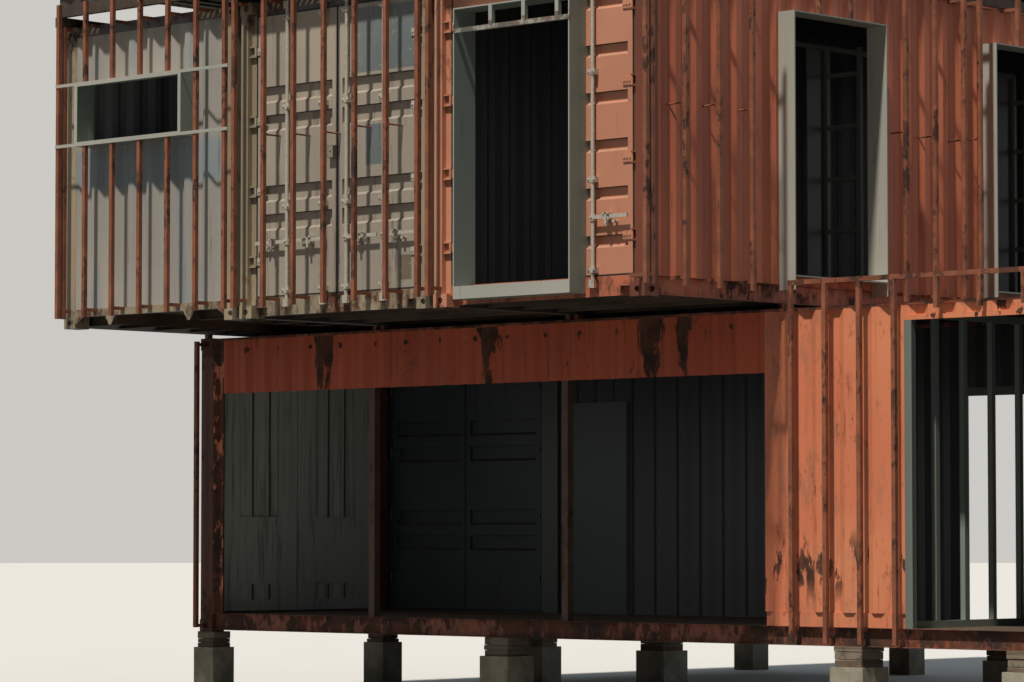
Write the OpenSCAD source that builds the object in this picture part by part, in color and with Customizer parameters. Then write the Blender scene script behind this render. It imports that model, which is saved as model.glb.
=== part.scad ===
// Two-storey cabin built from steel shipping containers.
// One long container lies across the front at ground level. A short one stands behind
// its left end. Three long ones lie side by side on top with their ends to the front.
// X runs along the front, Y runs into the building, Z is up. The origin lies on the
// ground under the front left corner of the lower container.

/* [Containers] */
// Width of every container
cont_w = 2438; // [2400:1:2480]
// Height of every container
cont_h = 2896; // [2800:1:2950]
// Length of a long container
long_l = 12192; // [12000:1:12400]
// Length of the short container
short_l = 6058; // [5900:1:6200]
// Gap between neighbouring containers
cont_gap = 43; // [30:1:60]
// Gap between the two lower containers
rear_gap = 25; // [20:1:40]
// Height of the packing between the storeys
storey_gap = 25; // [20:1:40]
// Overhang of the upper storey in front
overhang = 1760; // [1500:10:2000]

/* [Corner castings and posts] */
// Length of a corner casting
cast_l = 178; // [170:1:190]
// Width of a corner casting
cast_w = 162; // [155:1:170]
// Height of a corner casting
cast_h = 118; // [110:1:130]
// Depth of the slots in a casting
slot_d = 28; // [20:1:35]
// Length of the slot under a casting
foot_slot_l = 124; // [115:1:130]
// Width of the slots under and in the end of a casting
foot_slot_w = 63; // [58:1:68]
// Length of the slot in a casting's side
side_slot_l = 79; // [74:1:84]
// Height of the upright slots
slot_h = 51; // [46:1:54]
// Setback of posts and rails behind the castings
setback = 6; // [4:1:10]
// Wall of a hollow post
post_t = 6; // [4:1:10]
// Width of the outer part of a post at the door end
jamb_w = 94; // [80:1:100]

/* [Rails and floor] */
// Height of the bottom side rail above the casting's underside
rail_lift = 17; // [12:1:24]
// Height of the bottom side rail
rail_h = 161; // [155:1:170]
// Depth of the bottom side rail
rail_d = 48; // [44:1:56]
// Wall of a rail
rail_t = 5; // [4:1:8]
// Side of the square top rail
top_rail = 60; // [50:1:70]
// Height of the lip over the wall sheet
rail_lip = 22; // [18:1:30]
// Drop of the roof sheet below the top rails
roof_drop = 12; // [8:1:16]
// Height of the header over the doors
header_h = 118; // [100:1:130]
// Depth of the header over the doors
header_d = 80; // [70:1:90]
// Height of the top rail at the closed end
end_rail_h = 100; // [80:1:120]
// Depth of the rails at the closed end
end_rail_d = 60; // [54:1:70]
// Height of the bottom rail at the closed end
end_foot_h = 68; // [60:1:80]
// Depth of the door sill
sill_d = 100; // [90:1:110]
// Height of the door sill above the floor
sill_rise = 7; // [5:1:10]
// Width of a recess in the sill
sill_recess_w = 150; // [120:1:160]
// Height of a recess in the sill
sill_recess_h = 80; // [60:1:90]
// Thickness of the plywood floor
ply_t = 28; // [24:1:32]
// Spacing of the floor's cross members
member_pitch = 450; // [400:10:500]
// Flange width of a cross member
member_w = 45; // [40:1:60]
// Wall of a cross member
member_t = 5; // [4:1:8]
// Drop of the cross members' feet above the rail's underside
member_lift = 11; // [8:1:16]
// Width of the tunnel under the closed end
tunnel_w = 1029; // [1000:1:1060]
// Length of the tunnel under the closed end
tunnel_l = 3150; // [2800:10:3500]
// Wall of the tunnel
tunnel_t = 6; // [5:1:8]
// Thickness of the gussets under the closed end
gusset_t = 12; // [8:1:16]
// Width of a corner gusset
gusset_w = 105; // [90:1:120]
// Height of a corner gusset
gusset_h = 70; // [60:1:80]
// Width of a tunnel gusset's top
vee_top = 144; // [120:2:160]
// Width of a tunnel gusset's foot
vee_foot = 28; // [20:2:40]
// Height of a tunnel gusset
vee_h = 88; // [70:1:92]
// Distance of a tunnel gusset's middle from the tunnel
vee_out = 42; // [30:1:60]

/* [Corrugated sheets] */
// Thickness of the sheet
sheet_t = 3; // [2:0.5:4]
// Pitch of the side walls' waves
side_pitch = 278; // [240:1:300]
// Depth of the side walls' waves
side_depth = 36; // [25:1:40]
// Pitch of the end walls' waves
end_pitch = 264; // [230:1:290]
// Depth of the end walls' waves
end_depth = 46; // [30:1:50]
// Pitch of the roofs' waves
roof_pitch = 209; // [180:1:240]
// Depth of the roofs' waves
roof_depth = 20; // [15:1:25]
// Setback of the wall sheet behind the rails' faces
sheet_set = 2; // [1:1:4]

/* [Doors] */
// Depth of a door's face behind the castings
door_y = 60; // [56:1:64]
// Thickness of a door leaf
leaf_t = 50; // [45:1:55]
// Clearance between a leaf and its post
leaf_gap = 12; // [11:1:16]
// Clearance between two leaves
meet_gap = 10; // [10:1:16]
// Clearance over and under a leaf
leaf_clear = 10; // [6:1:14]
// Width of a leaf's outer bars
stile_w = 60; // [50:1:80]
// Depth of the pressed bands
band_d = 36; // [25:1:40]
// Width of a band's slope
band_slope = 25; // [20:1:30]
// Radius of a hinge knuckle
knuckle_r = 11; // [10:0.5:12]
// Height of a hinge knuckle
knuckle_h = 76; // [60:1:90]
// Running gap at a hinge
hinge_gap = 0.3; // [0.2:0.1:0.5]
// Thickness of a hinge lug
lug_t = 14; // [12:1:20]
// Distance of the hinge line in front of the leaf
pin_out = 20; // [19:1:22]
// Distance of the hinge line from the leaf's edge
pin_in = 6; // [5:1:7]
// Length of a hinge blade
blade_l = 110; // [90:1:140]
// Thickness of a hinge blade
blade_t = 8; // [6:1:9]
// Number of hinges on a leaf
hinge_n = 4; // [3:1:5]
// Radius of a lock rod
rod_r = 17; // [14:1:18]
// Distance of a lock rod in front of the leaf
rod_out = 32; // [30:1:36]
// Distance of the inner lock rods from the middle of the door
rod_inner = 150; // [130:1:180]
// Distance of the outer lock rods from the middle of the door
rod_outer = 620; // [560:1:680]
// Reach of a lock rod over the sill and the header
rod_reach = 95; // [85:1:100]
// Height of a lock rod's cam
cam_h = 70; // [60:1:80]
// Depth of a cam
cam_d = 36; // [30:1:40]
// Reach of a cam beside its rod
cam_side = 15; // [10:1:18]
// Height of a cam's seats
keeper_h = 70; // [60:1:80]
// Depth of a cam's seats
keeper_d = 40; // [34:1:44]
// Thickness of a cam's seat
keeper_t = 14; // [10:1:18]
// Distance of a cam's seats from the rod
keeper_gap = 19; // [17:1:24]
// Width of a rod guide
guide_w = 80; // [70:1:90]
// Height of a rod guide
guide_h = 46; // [40:1:54]
// Height of the handles above the casting's underside
handle_z = 680; // [600:1:800]
// Length of a handle
handle_l = 400; // [350:1:430]
// Height of a handle's bar
handle_h = 32; // [26:1:40]
// Thickness of a handle's bar
handle_t = 12; // [8:1:14]
// Side of a handle's hub and catch
catch_w = 60; // [50:1:66]
// Distance of a handle's catch from the rod
catch_x = 170; // [150:1:200]
// Height of the bars across the head and foot of a leaf
leaf_bar_h = 90; // [80:1:100]
// Height of a band of the grey doors
band_h = 152; // [140:1:160]
// Distance between the two bands of a pair
band_gap = 108; // [100:1:116]
// Height of the lower pair's middle above the leaf's foot
pair_foot = 803; // [780:1:820]
// Drop of the upper pair's middle below the leaf's head
pair_head = 859; // [840:1:880]
// Height of a band of the orange doors
orange_band_h = 105; // [90:1:120]
// Pitch of the bands of the orange doors
orange_pitch = 401; // [380:1:410]
// Pitch of the waves in the lower container's leaves
lining_pitch = 230; // [200:1:260]
// Depth of the waves in the lower container's leaves
lining_wave = 30; // [24:1:34]
// Thickness of the inner lining
lining_t = 5; // [4:1:8]
// Width of the cut-outs in the lining
cutout_w = 540; // [480:1:600]
// Height of the tall cut-out's foot above the leaf's foot
cutout_foot = 935; // [900:1:960]
// Drop of the tall cut-out's head below the leaf's head
cutout_head = 172; // [150:1:200]
// Height of the low cut-out's foot above the leaf's foot
low_cutout_foot = 110; // [100:1:130]
// Height of the low cut-out
low_cutout_h = 155; // [120:1:180]

/* [Window, doorway and openings] */
// Thickness of the plates of a window box
box_t = 12; // [10:1:16]
// Reach of the cladding in front of the walls
clad_out = 170; // [150:1:200]
// Left edge of the high window
high_win_x = 345; // [300:5:400]
// Distance of the high window from the container's right side
high_win_right = 578; // [520:2:640]
// Drop of the high window's head below the container's top
high_win_drop = 566; // [500:2:620]
// Height of the high window
high_win_h = 610; // [500:5:650]
// Width of the high window's front border
win_border = 40; // [30:1:50]
// Thickness of the high window's front border
border_t = 8; // [6:1:12]
// Height of the high window's long bars
tie_h = 30; // [24:1:36]
// Left edge of the upper doorway
doorway_x = 383; // [350:1:420]
// Distance of the upper doorway from the container's right side
doorway_right = 700; // [680:5:760]
// Distance of the lock rod beside the upper doorway
doorway_rod = 101; // [90:1:120]
// Lower edge of the upper doorway's frame
doorway_z = 50; // [40:1:60]
// Drop of the upper doorway's head below the container's top
doorway_drop = 336; // [300:2:400]
// Drop of the upper doorway's crossbar below its head
transom_drop = 215; // [180:1:240]
// Side of the upper doorway's crossbar and uprights
light_bar = 40; // [30:1:50]
// Distance of the first upright from the frame's left
light_first = 420; // [380:1:460]
// Distance of the last upright from the frame's right
light_last = 165; // [150:1:200]
// Height of the upper doorway's foot
doorway_foot = 110; // [90:1:120]
// Setback of the upper doorway's front behind the cladding
doorway_set = 20; // [10:1:30]
// Depth of the upper doorway's frame
doorway_d = 265; // [250:1:280]
// Distance of the first side window from the front of the lower container
side_win_y = 0; // [-100:5:100]
// Width of a side window
side_win_w = 1300; // [1200:5:1400]
// Spacing of the side windows
side_win_pitch = 2930; // [2800:5:3000]
// Number of side windows
side_win_n = 3; // [1:1:3]
// Lower edge of a side window
side_win_z = 240; // [220:5:300]
// Drop of a side window's head below the container's top
side_win_drop = 366; // [340:2:420]
// Lower end of a side window's jambs
jamb_foot = 125; // [110:1:140]
// Distance of the inner frames' plates from the side with windows
inner_set = 1160; // [1100:5:1200]
// Distance of an inner frame behind its window
inner_after = 520; // [480:5:560]
// Depth of an inner frame's plate
inner_plate_d = 284; // [260:2:300]
// Thickness of that plate
inner_plate_t = 8; // [6:1:12]
// Width of an inner frame with its rungs
inner_w = 430; // [400:5:480]
// Side of its studs and rungs
inner_bar = 40; // [30:1:50]
// Drop of the first rung's middle below the side windows' head
rung_drop = 282; // [260:2:300]
// Spacing of the rungs
rung_pitch = 478; // [460:2:500]
// Number of rungs in an inner frame
rung_n = 5; // [3:1:5]
// Number of inner frames
inner_n = 2; // [1:1:2]
// Reach of the inner frames' head rail before the first of them
head_reach = 600; // [400:10:700]
// Clearance between uprights and the rails or tracks at their ends
seat = 0.3; // [0.1:0.1:0.5]
// Left edge of the large front opening
front_open_x = 330; // [300:5:400]
// Distance of the large opening's right edge from the upper storey's side
front_open_set = 180; // [150:5:220]
// Drop of the large opening's head below the container's top
front_open_drop = 551; // [500:1:600]
// Width of the solid front wall
solid_w = 1500; // [1400:5:1600]
// Distance of the glazing bay from the container's right end
bay_set = 892; // [800:2:950]
// Drop of the glazing bay's head below the container's top
bay_drop = 156; // [140:1:180]
// Height of the bar over the glazing bay
bay_lip = 40; // [30:1:50]
// Height of the tracks under and over the studs
track_h = 60; // [50:1:75]
// Lower edge of the wall sheet over the flat band
band_z = 300; // [280:5:340]
// Distance of the first stud behind the lower container's front
stud_first = 405; // [380:5:430]
// Spacing of the studs
stud_pitch = 400; // [380:5:420]
// Number of studs
stud_n = 5; // [3:1:5]
// Side of a stud
stud_w = 50; // [40:1:60]
// Width of the bay's outer bars
bay_bar = 75; // [60:1:90]
// Side of the square posts in the large opening
prop_w = 75; // [60:1:90]
// Distance of a square post's middle before the next upper container
prop_set = 112; // [90:1:140]

/* [Back wall of the lower container] */
// Right edge of the opening to the short container
link_end = 2394; // [2380:1:2400]
// Width of the bar beside it
link_jamb = 216; // [200:1:230]
// Left edge of the back doorway
back_door_x = 2810; // [2780:5:2850]
// Width of the back doorway
back_door_w = 710; // [650:5:800]
// Head of the back doorway
back_door_top = 2250; // [2100:5:2350]
// Distance of the wide back opening from the container's right end
garden_set = 3592; // [3560:2:3700]
// Width of the wide back opening
garden_w = 1000; // [900:5:1050]
// Head of the wide back opening
garden_top = 2200; // [2100:5:2300]
// Thickness of the board in the back doorway
board_t = 12; // [10:1:18]

/* [Cladding bars] */
// Side of a cladding bar
bar_w = 40; // [30:1:50]
// Width of a bracket
bracket_w = 30; // [20:1:40]
// Distance of a container's outer bars from its edges
bar_edge = 43; // [36:1:50]
// Number of bar spaces over a container's end
end_bar_n = 6; // [4:1:8]
// Shift of the front bars to the right
bar_shift = 40; // [0:1:45]
// Lower end of the upper storey's bars
bar_foot = 90; // [60:5:120]
// Rise of the bars over the upper containers
bar_rise = 206; // [150:2:240]
// Spacing of the bars along a container's side
side_bar_pitch = 435; // [400:5:480]
// Distance between the two bars of a corner pair
twin_gap = 70; // [60:1:90]
// Distance of the first side bar from the container's end
side_first = 350; // [300:5:400]
// Distance of a bar behind a side window
after_win = 290; // [250:5:320]
// Distance of a bar before a side window
before_win = 230; // [200:5:260]
// Distance of the first short bar over a side window from its edge
over_win = 370; // [340:5:400]
// Number of short bars over a side window
over_win_n = 2; // [1:1:3]
// Reach of the lower cladding in front of the lower container
low_clad_out = 90; // [80:1:110]
// Lower end of the lower container's bars
low_bar_foot = 40; // [20:1:60]
// Spacing of the bars on the solid front wall
wall_bar_pitch = 366; // [340:1:380]
// Distance of the first of them from the upper storey's side
wall_bar_set = 175; // [150:1:200]
// Spacing of the posts over the glazing bay
bay_post_pitch = 440; // [400:5:450]
// Reach of these posts below the container's top
post_drop = 70; // [60:1:100]
// Height of the terrace rail over the lower container
terrace_rise = 225; // [200:5:260]
// Distance of the terrace rail's end from the upper storey's side
terrace_set = 150; // [140:1:170]

/* [Roof] */
// Width of the joists along the roof
joist_w = 100; // [80:1:120]
// Height of the joists along the roof
joist_h = 90; // [70:1:110]
// Height of the roof beams
beam_h = 280; // [200:5:300]
// Depth of the roof beams
beam_d = 60; // [50:1:80]
// Number of roof beams
beam_n = 6; // [4:1:8]
// Reach of the roof sheet beyond the beams
eave = 20; // [10:5:60]
// Reach of the roof sheet beside the upper storey
side_eave = 40; // [20:5:80]
// Pitch of the roof sheet's ribs
rib_pitch = 200; // [160:5:240]
// Height of the roof sheet's ribs
rib_h = 35; // [25:1:45]

/* [Supports] */
// Height of the lower containers above the ground
pier_h = 600; // [500:10:700]
// Side of a pier block under a container's side
pier_w = 350; // [320:5:400]
// Side of a pier block under a container's corner
corner_w = 280; // [260:5:320]
// Height of a pier block
block_h = 445; // [380:5:470]
// Reach of the piers beyond the containers
pier_out = 40; // [20:5:60]
// Setback of a packing block from its pier's edge
packer_in = 20; // [10:1:30]
// Place of the first pier under the front
pier_first = 4050; // [3900:10:4200]
// Place of the second pier under the front
pier_second = 8130; // [8000:10:8300]
// Place of the third pier under the front
pier_third = 9900; // [9700:10:10000]
// Side of the steel posts at the back
back_post = 100; // [80:1:120]
// Height of the beam at the back
back_beam_h = 200; // [160:5:220]
// Distance of the back posts before the short container's end
back_post_set = 150; // [120:5:200]
// Length of a plate between the storeys at the short container's end
plate_l = 200; // [150:5:250]

/* [Hidden] */
z1 = pier_h;
z2 = pier_h + cont_h + storey_gap;
module_w = cont_w + cont_gap;
total_w = 3 * cont_w + 2 * cont_gap;
rear_y = cont_w + rear_gap;
front_y = -overhang;
back_y = long_l - overhang;
floor_z = rail_lift + rail_h;
sill_top = floor_z + sill_rise;
roof_z = cont_h - setback;
wall_top = roof_z - rail_lip;
rail_under = roof_z - top_rail;
header_z = roof_z - header_h;
end_top = roof_z - end_rail_h;
leaf_z = sill_top + leaf_clear;
leaf_h = header_z - leaf_clear - leaf_z;
leaf_x = cast_w + leaf_gap;
leaf_w = (cont_w - 2 * leaf_x - meet_gap) / 2;
pin_x = leaf_x - pin_in;
pin_y = door_y - pin_out;
jamb_x = setback + jamb_w;
jamb_y = door_y - 2;
end_face = door_y - 8;
sheet_x = setback + sheet_set;
sheet_back = sheet_x + side_depth + sheet_t;
pair_zs = [pair_foot, leaf_h - pair_head];
grey_bands = [for (z = pair_zs) for (s = [-1, 1]) z + s * (band_gap + band_h) / 2];
orange_bands = [for (k = [0:5]) leaf_h / 2 + (k - 2.5) * orange_pitch];
high_z = cont_h - high_win_drop - high_win_h;
high_win_w = cont_w - high_win_x - high_win_right;
doorway_w = cont_w - doorway_x - doorway_right;
orange_rod_x = cont_w - doorway_right + doorway_rod;
doorway_top = cont_h - doorway_drop;
transom_z = doorway_top - transom_drop;
side_win_top = cont_h - side_win_drop;
front_open_end = total_w - front_open_set;
front_open_top = cont_h - front_open_drop;
bay_x = front_open_end + solid_w;
bay_end = long_l - bay_set;
bay_w = bay_end - bay_x;
bay_top = cont_h - bay_drop;
garden_x = long_l - garden_set - garden_w;
end_bar_pitch = (cont_w - 2 * bar_edge) / end_bar_n;
bar_top = cont_h + bar_rise;
low_tie = floor_z - bracket_w / 2;
high_tie = roof_z - bracket_w / 2;
front_reach = clad_out - bar_w;
$fn = 32;

// Places of the five containers. Each is drawn with its door end at Y = 0.
module at_lower() translate([0, cont_w, z1]) rotate([0, 0, -90]) children();
module at_rear() translate([0, rear_y, z1]) children();
module at_a() translate([cont_w, back_y, z2]) rotate([0, 0, 180]) children();
module at_b() translate([module_w, front_y, z2]) children();
module at_c() translate([2 * module_w, front_y, z2]) children();

// A copy on the other side of a container
module both_sides() {
    children();
    translate([cont_w, 0, 0]) mirror([1, 0, 0]) children();
}

// A copy at the other end of a container of the given length
module other_end(len) translate([0, len, 0]) mirror([0, 1, 0]) children();

// Slot with round ends, cut from z = 0 upwards
module slot(len, wid) {
    linear_extrude(slot_d) union() {
        square([len - wid, wid], center = true);
        for (s = [-1, 1]) translate([s * (len - wid) / 2, 0]) circle(d = wid, $fn = 12);
    }
}

// Corner casting with its outer faces at x = 0, y = 0 and z = 0
module casting() {
    difference() {
        cube([cast_w, cast_l, cast_h]);
        translate([cast_w / 2, cast_l / 2, -0.01]) rotate([0, 0, 90])
            slot(foot_slot_l, foot_slot_w);
        translate([cast_w / 2, -0.01, cast_h / 2]) rotate([-90, 0, 0]) slot(foot_slot_w, slot_h);
        translate([-0.01, cast_l / 2, cast_h / 2]) rotate([90, 0, 90]) slot(side_slot_l, slot_h);
    }
}

// Section of the post at the closed end
module plain_section(t = 0) {
    translate([setback + t, setback + t])
        square([cast_w - setback - 2 * t, cast_l - setback - 2 * t]);
}

// Section of the post at the door end, stepped back for the hinges
module stepped_section(t = 0) {
    polygon([[setback + t, setback + t], [jamb_x - t, setback + t], [jamb_x - t, jamb_y + t],
        [cast_w - t, jamb_y + t], [cast_w - t, cast_l - t], [setback + t, cast_l - t]]);
}

// Height of the middle of hinge k on a leaf
function hinge_z(k) = leaf_z + leaf_h * (k + 0.5) / hinge_n;

// Lugs that hold one hinge knuckle
module hinge_lugs() {
    for (s = [-1, 1]) {
        translate([0, 0, s * (knuckle_h / 2 + hinge_gap + lug_t / 2) - lug_t / 2]) {
            translate([jamb_x, pin_y - knuckle_r, 0])
                cube([cast_w - jamb_x, jamb_y - pin_y + knuckle_r, lug_t]);
            translate([cast_w, pin_y - knuckle_r, 0])
                cube([pin_x - cast_w, 2 * knuckle_r, lug_t]);
            translate([pin_x, pin_y, 0]) cylinder(r = knuckle_r, h = lug_t);
        }
    }
}

// Post with its two castings
module corner(door_end) {
    casting();
    translate([0, 0, cont_h]) mirror([0, 0, 1]) casting();
    translate([0, 0, cast_h]) linear_extrude(cont_h - 2 * cast_h) difference() {
        if (door_end) stepped_section(); else plain_section();
        if (door_end) stepped_section(post_t); else plain_section(post_t);
    }
    if (door_end) for (k = [0:hinge_n - 1]) translate([0, 0, hinge_z(k)]) hinge_lugs();
}

module posts(len) {
    both_sides() {
        corner(true);
        other_end(len) corner(false);
    }
}

// Channel section of the bottom side rail, open to the outside
module channel(h, d, t) {
    difference() {
        square([d, h]);
        translate([-1, t]) square([d - t + 1, h - 2 * t]);
    }
}

// Section of the top side rail, with its lip over the wall sheet
module top_section() {
    difference() {
        union() {
            translate([sheet_back, rail_under]) square(top_rail);
            translate([setback, wall_top]) square([sheet_back + rail_t - setback, rail_lip]);
        }
        translate([sheet_back + rail_t, rail_under + rail_t]) square(top_rail - 2 * rail_t);
    }
}

module side_rails(len) {
    both_sides() translate([0, len - cast_l, 0]) rotate([90, 0, 0])
        linear_extrude(len - 2 * cast_l) {
            translate([setback, rail_lift]) channel(rail_h, rail_d, rail_t);
            top_section();
        }
}

// Places of the lock rods across a container's door end
function rod_places() = [for (d = [-rod_outer, -rod_inner, rod_inner, rod_outer]) cont_w / 2 + d];

// Seats of a lock rod's cam on the sill or the header
module keeper() {
    for (s = [-1, 1])
        translate([s * (rod_r + keeper_gap + keeper_t / 2) - keeper_t / 2, end_face - keeper_d,
            -keeper_h / 2]) cube([keeper_t, keeper_d, keeper_h]);
}

// Sill and header of the door end, with seats for the lock rods at the given places
module door_end_rails(places) {
    clear_w = cont_w - 2 * cast_w;
    difference() {
        translate([cast_w, end_face, rail_lift]) cube([clear_w, sill_d, sill_top - rail_lift]);
        both_sides() translate([cast_w - 1, end_face - 1, rail_lift - 1])
            cube([sill_recess_w + 1, sill_d / 2, sill_recess_h]);
    }
    translate([cast_w, end_face, header_z]) cube([clear_w, header_d, header_h]);
    for (x = places) {
        translate([x, 0, sill_top - rod_reach + cam_h / 2]) keeper();
        translate([x, 0, header_z + rod_reach - cam_h / 2]) keeper();
    }
}

// Bottom and top rail of the closed end, with corner gussets and those at the tunnel's mouth
module closed_end_rails(len, tunnel) {
    clear_w = cont_w - 2 * cast_w;
    foot_z = floor_z - end_foot_h;
    other_end(len) {
        translate([cast_w, setback, foot_z]) cube([clear_w, end_rail_d, end_foot_h]);
        translate([cast_w, setback, end_top]) cube([clear_w, end_rail_d, end_rail_h]);
        both_sides() translate([cast_w, setback + gusset_t, foot_z]) rotate([90, 0, 0])
            linear_extrude(gusset_t) polygon([[0, 0], [gusset_w, 0], [0, -gusset_h]]);
        if (tunnel) for (s = [-1, 1])
            translate([cont_w / 2 + s * (tunnel_w / 2 + vee_out), setback + gusset_t, foot_z])
                rotate([90, 0, 0]) linear_extrude(gusset_t)
                    polygon([[-vee_top / 2, 0], [vee_top / 2, 0], [vee_foot / 2, -vee_h],
                        [-vee_foot / 2, -vee_h]]);
    }
}

// Plywood floor between the posts, with its cross members and tunnel
module floor_deck(len, tunnel) {
    x0 = setback + rail_d;
    y0 = end_face + sill_d;
    y1 = len - setback - end_rail_d;
    w = cont_w - 2 * x0;
    under = floor_z - ply_t;
    member_y = cast_l + 2;
    run = len - 2 * member_y - member_w;
    n = floor(run / member_pitch);
    member_z = rail_lift + member_lift;
    tunnel_x = cont_w / 2 - tunnel_w / 2 - tunnel_t;
    difference() {
        translate([x0, y0, under]) cube([w, y1 - y0, ply_t]);
        both_sides() for (y = [0, len - cast_l - 1])
            translate([0, y, under - 1]) cube([cast_w + 1, cast_l + 1, ply_t + 2]);
    }
    difference() {
        for (k = [0:n]) translate([x0, member_y + k * run / n, member_z])
            rotate([90, 0, 90]) linear_extrude(w) difference() {
                square([member_w, under - member_z]);
                translate([member_t, member_t])
                    square([member_w, under - member_z - 2 * member_t]);
            }
        if (tunnel) translate([tunnel_x, len - tunnel_l, rail_lift])
            cube([tunnel_w + 2 * tunnel_t, tunnel_l, under - rail_lift - tunnel_t]);
    }
    if (tunnel) translate([tunnel_x, len - tunnel_l, member_z]) difference() {
        cube([tunnel_w + 2 * tunnel_t, y1 - len + tunnel_l, under - member_z]);
        translate([tunnel_t, -1, -1])
            cube([tunnel_w, y1 - len + tunnel_l + 2, under - member_z - tunnel_t + 1]);
    }
}

// Corrugated sheet along X with its outer face at y = 0
module corrugated(len, height, pitch, depth) {
    n = max(1, round(len / pitch));
    p = len / n;
    face = concat([[0, 0]],
        [for (k = [0:n - 1]) for (q = [[0.13, 0], [0.37, 1], [0.63, 1], [0.87, 0]])
            [(k + q[0]) * p, q[1] * depth]], [[len, 0]]);
    back = [for (k = [len(face) - 1:-1:0]) face[k] + [0, sheet_t]];
    linear_extrude(height) polygon(concat(face, back));
}

// Stretch of side wall between y0 and y1, and z0 and z1, on the side at x = 0
module side_panel(y0, y1, z0 = floor_z, top = wall_top) {
    translate([sheet_x, y0, z0]) mirror([1, -1, 0])
        corrugated(y1 - y0, top - z0, side_pitch, side_depth);
}

module side_wall(len) side_panel(cast_l, len - cast_l);

module closed_end(len) {
    other_end(len) translate([cast_w, sheet_x, floor_z])
        corrugated(cont_w - 2 * cast_w, end_top - floor_z, end_pitch, end_depth);
}

// Roof sheet with waves across the container, and flat plates at both of its ends
module roof_panel(len) {
    x0 = sheet_back + top_rail;
    z = roof_z - roof_drop;
    translate([x0, cast_l, z]) rotate([90, 0, 90]) mirror([0, 1, 0])
        corrugated(len - 2 * cast_l, cont_w - 2 * x0, roof_pitch, roof_depth);
    for (y = [[end_face + header_d, cast_l], [len - cast_l, len - setback - end_rail_d]])
        translate([cast_w, y[0], z - sheet_t]) cube([cont_w - 2 * cast_w, y[1] - y[0], sheet_t]);
}

// Door leaf at x = 0, y = 0 and z = 0, hinged on its left edge
module leaf_frame() {
    cube([stile_w, leaf_t, leaf_h]);
    translate([leaf_w - stile_w, 0, 0]) cube([stile_w, leaf_t, leaf_h]);
    cube([leaf_w, leaf_t, leaf_bar_h]);
    translate([0, 0, leaf_h - leaf_bar_h]) cube([leaf_w, leaf_t, leaf_bar_h]);
}

module leaf_hinges() {
    for (k = [0:hinge_n - 1]) translate([0, 0, hinge_z(k) - leaf_z - knuckle_h / 2]) {
        translate([-pin_in, -pin_out, 0]) cylinder(r = knuckle_r, h = knuckle_h);
        translate([-pin_in, -pin_out, 0]) cube([10, pin_out, knuckle_h]);
        translate([-pin_in, -blade_t, 0]) cube([blade_l + pin_in, blade_t, knuckle_h]);
    }
}

// Panel pressed with level bands of one height, given by their middles above the leaf's foot
module banded_panel(middles, height) {
    face = concat([[0, leaf_bar_h - 10]],
        [for (z = middles) for (q = [[0, -height / 2], [band_d, band_slope - height / 2],
            [band_d, height / 2 - 4], [0, height / 2]]) [q[0], z + q[1]]],
        [[0, leaf_h - leaf_bar_h + 10]]);
    back = [for (k = [len(face) - 1:-1:0]) face[k] + [sheet_t, 0]];
    translate([stile_w - 1, 0, 0]) rotate([90, 0, 90])
        linear_extrude(leaf_w - 2 * stile_w + 2) polygon(concat(face, back));
}

module banded_leaf(middles, height) {
    leaf_frame();
    banded_panel(middles, height);
    leaf_hinges();
}

module grey_leaf() banded_leaf(grey_bands, band_h);
module orange_leaf() banded_leaf(orange_bands, orange_band_h);

// Leaf with an upright corrugated panel and an inner lining with two cut-outs
module lined_leaf() {
    clear_w = leaf_w - 2 * stile_w + 2;
    clear_h = leaf_h - 2 * leaf_bar_h + 20;
    cut_x = (leaf_w - cutout_w) / 2;
    leaf_frame();
    leaf_hinges();
    translate([stile_w - 1, 0, leaf_bar_h - 10])
        corrugated(clear_w, clear_h, lining_pitch, lining_wave);
    translate([0, leaf_t - lining_t, 0]) difference() {
        translate([stile_w - 1, 0, leaf_bar_h - 10]) cube([clear_w, lining_t, clear_h]);
        translate([cut_x, -1, cutout_foot])
            cube([cutout_w, lining_t + 2, leaf_h - cutout_head - cutout_foot]);
        translate([cut_x, -1, low_cutout_foot]) cube([cutout_w, lining_t + 2, low_cutout_h]);
    }
}

// A leaf at the left of the door end, and its mirror image at the right
module left_place() translate([leaf_x, door_y, leaf_z]) children();
module right_place() translate([cont_w, 0, 0]) mirror([1, 0, 0]) left_place() children();

// Lock rod at x = 0 with guides, cams and a handle that points to side s
module lock_rod(s) {
    y = door_y - rod_out;
    foot = sill_top - rod_reach;
    head = header_z + rod_reach;
    half_guide = guide_h / 2;
    translate([0, y, foot]) cylinder(r = rod_r, h = head - foot, $fn = 24);
    for (z = concat([half_guide + 20, leaf_h - half_guide - 20], pair_zs))
        translate([-guide_w / 2, y - rod_r - 4, leaf_z + z - half_guide])
            cube([guide_w, rod_out + rod_r + 4, guide_h]);
    for (z = [foot, head - cam_h]) translate([-rod_r - cam_side, y - cam_d / 2 - 2, z])
        cube([2 * (rod_r + cam_side), cam_d, cam_h]);
    translate([0, y, handle_z - catch_w / 2]) cylinder(r = rod_r + 9, h = catch_w, $fn = 24);
    translate([min(0, s * handle_l), y - 2 * handle_t, handle_z - handle_h / 2])
        cube([handle_l, handle_t, handle_h]);
    translate([s * catch_x - catch_w / 2, y - 2 * handle_t - 2, handle_z - catch_w / 2])
        cube([catch_w, rod_out + 2 * handle_t + 2, catch_w]);
}

// Reach of a bar's bracket to what lies the given depth behind the container's face
function reach(depth) = clad_out + depth;

// Upright bar with brackets. Its front is at y = 0. Each bracket is [height, reach].
module clad_bar(z0, top, brackets) {
    translate([-bar_w / 2, 0, z0]) cube([bar_w, bar_w, top - z0]);
    for (b = brackets) translate([-bracket_w / 2, bar_w, b[0] - bracket_w / 2])
        cube([bracket_w, b[1] - bar_w, bracket_w]);
}

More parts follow.
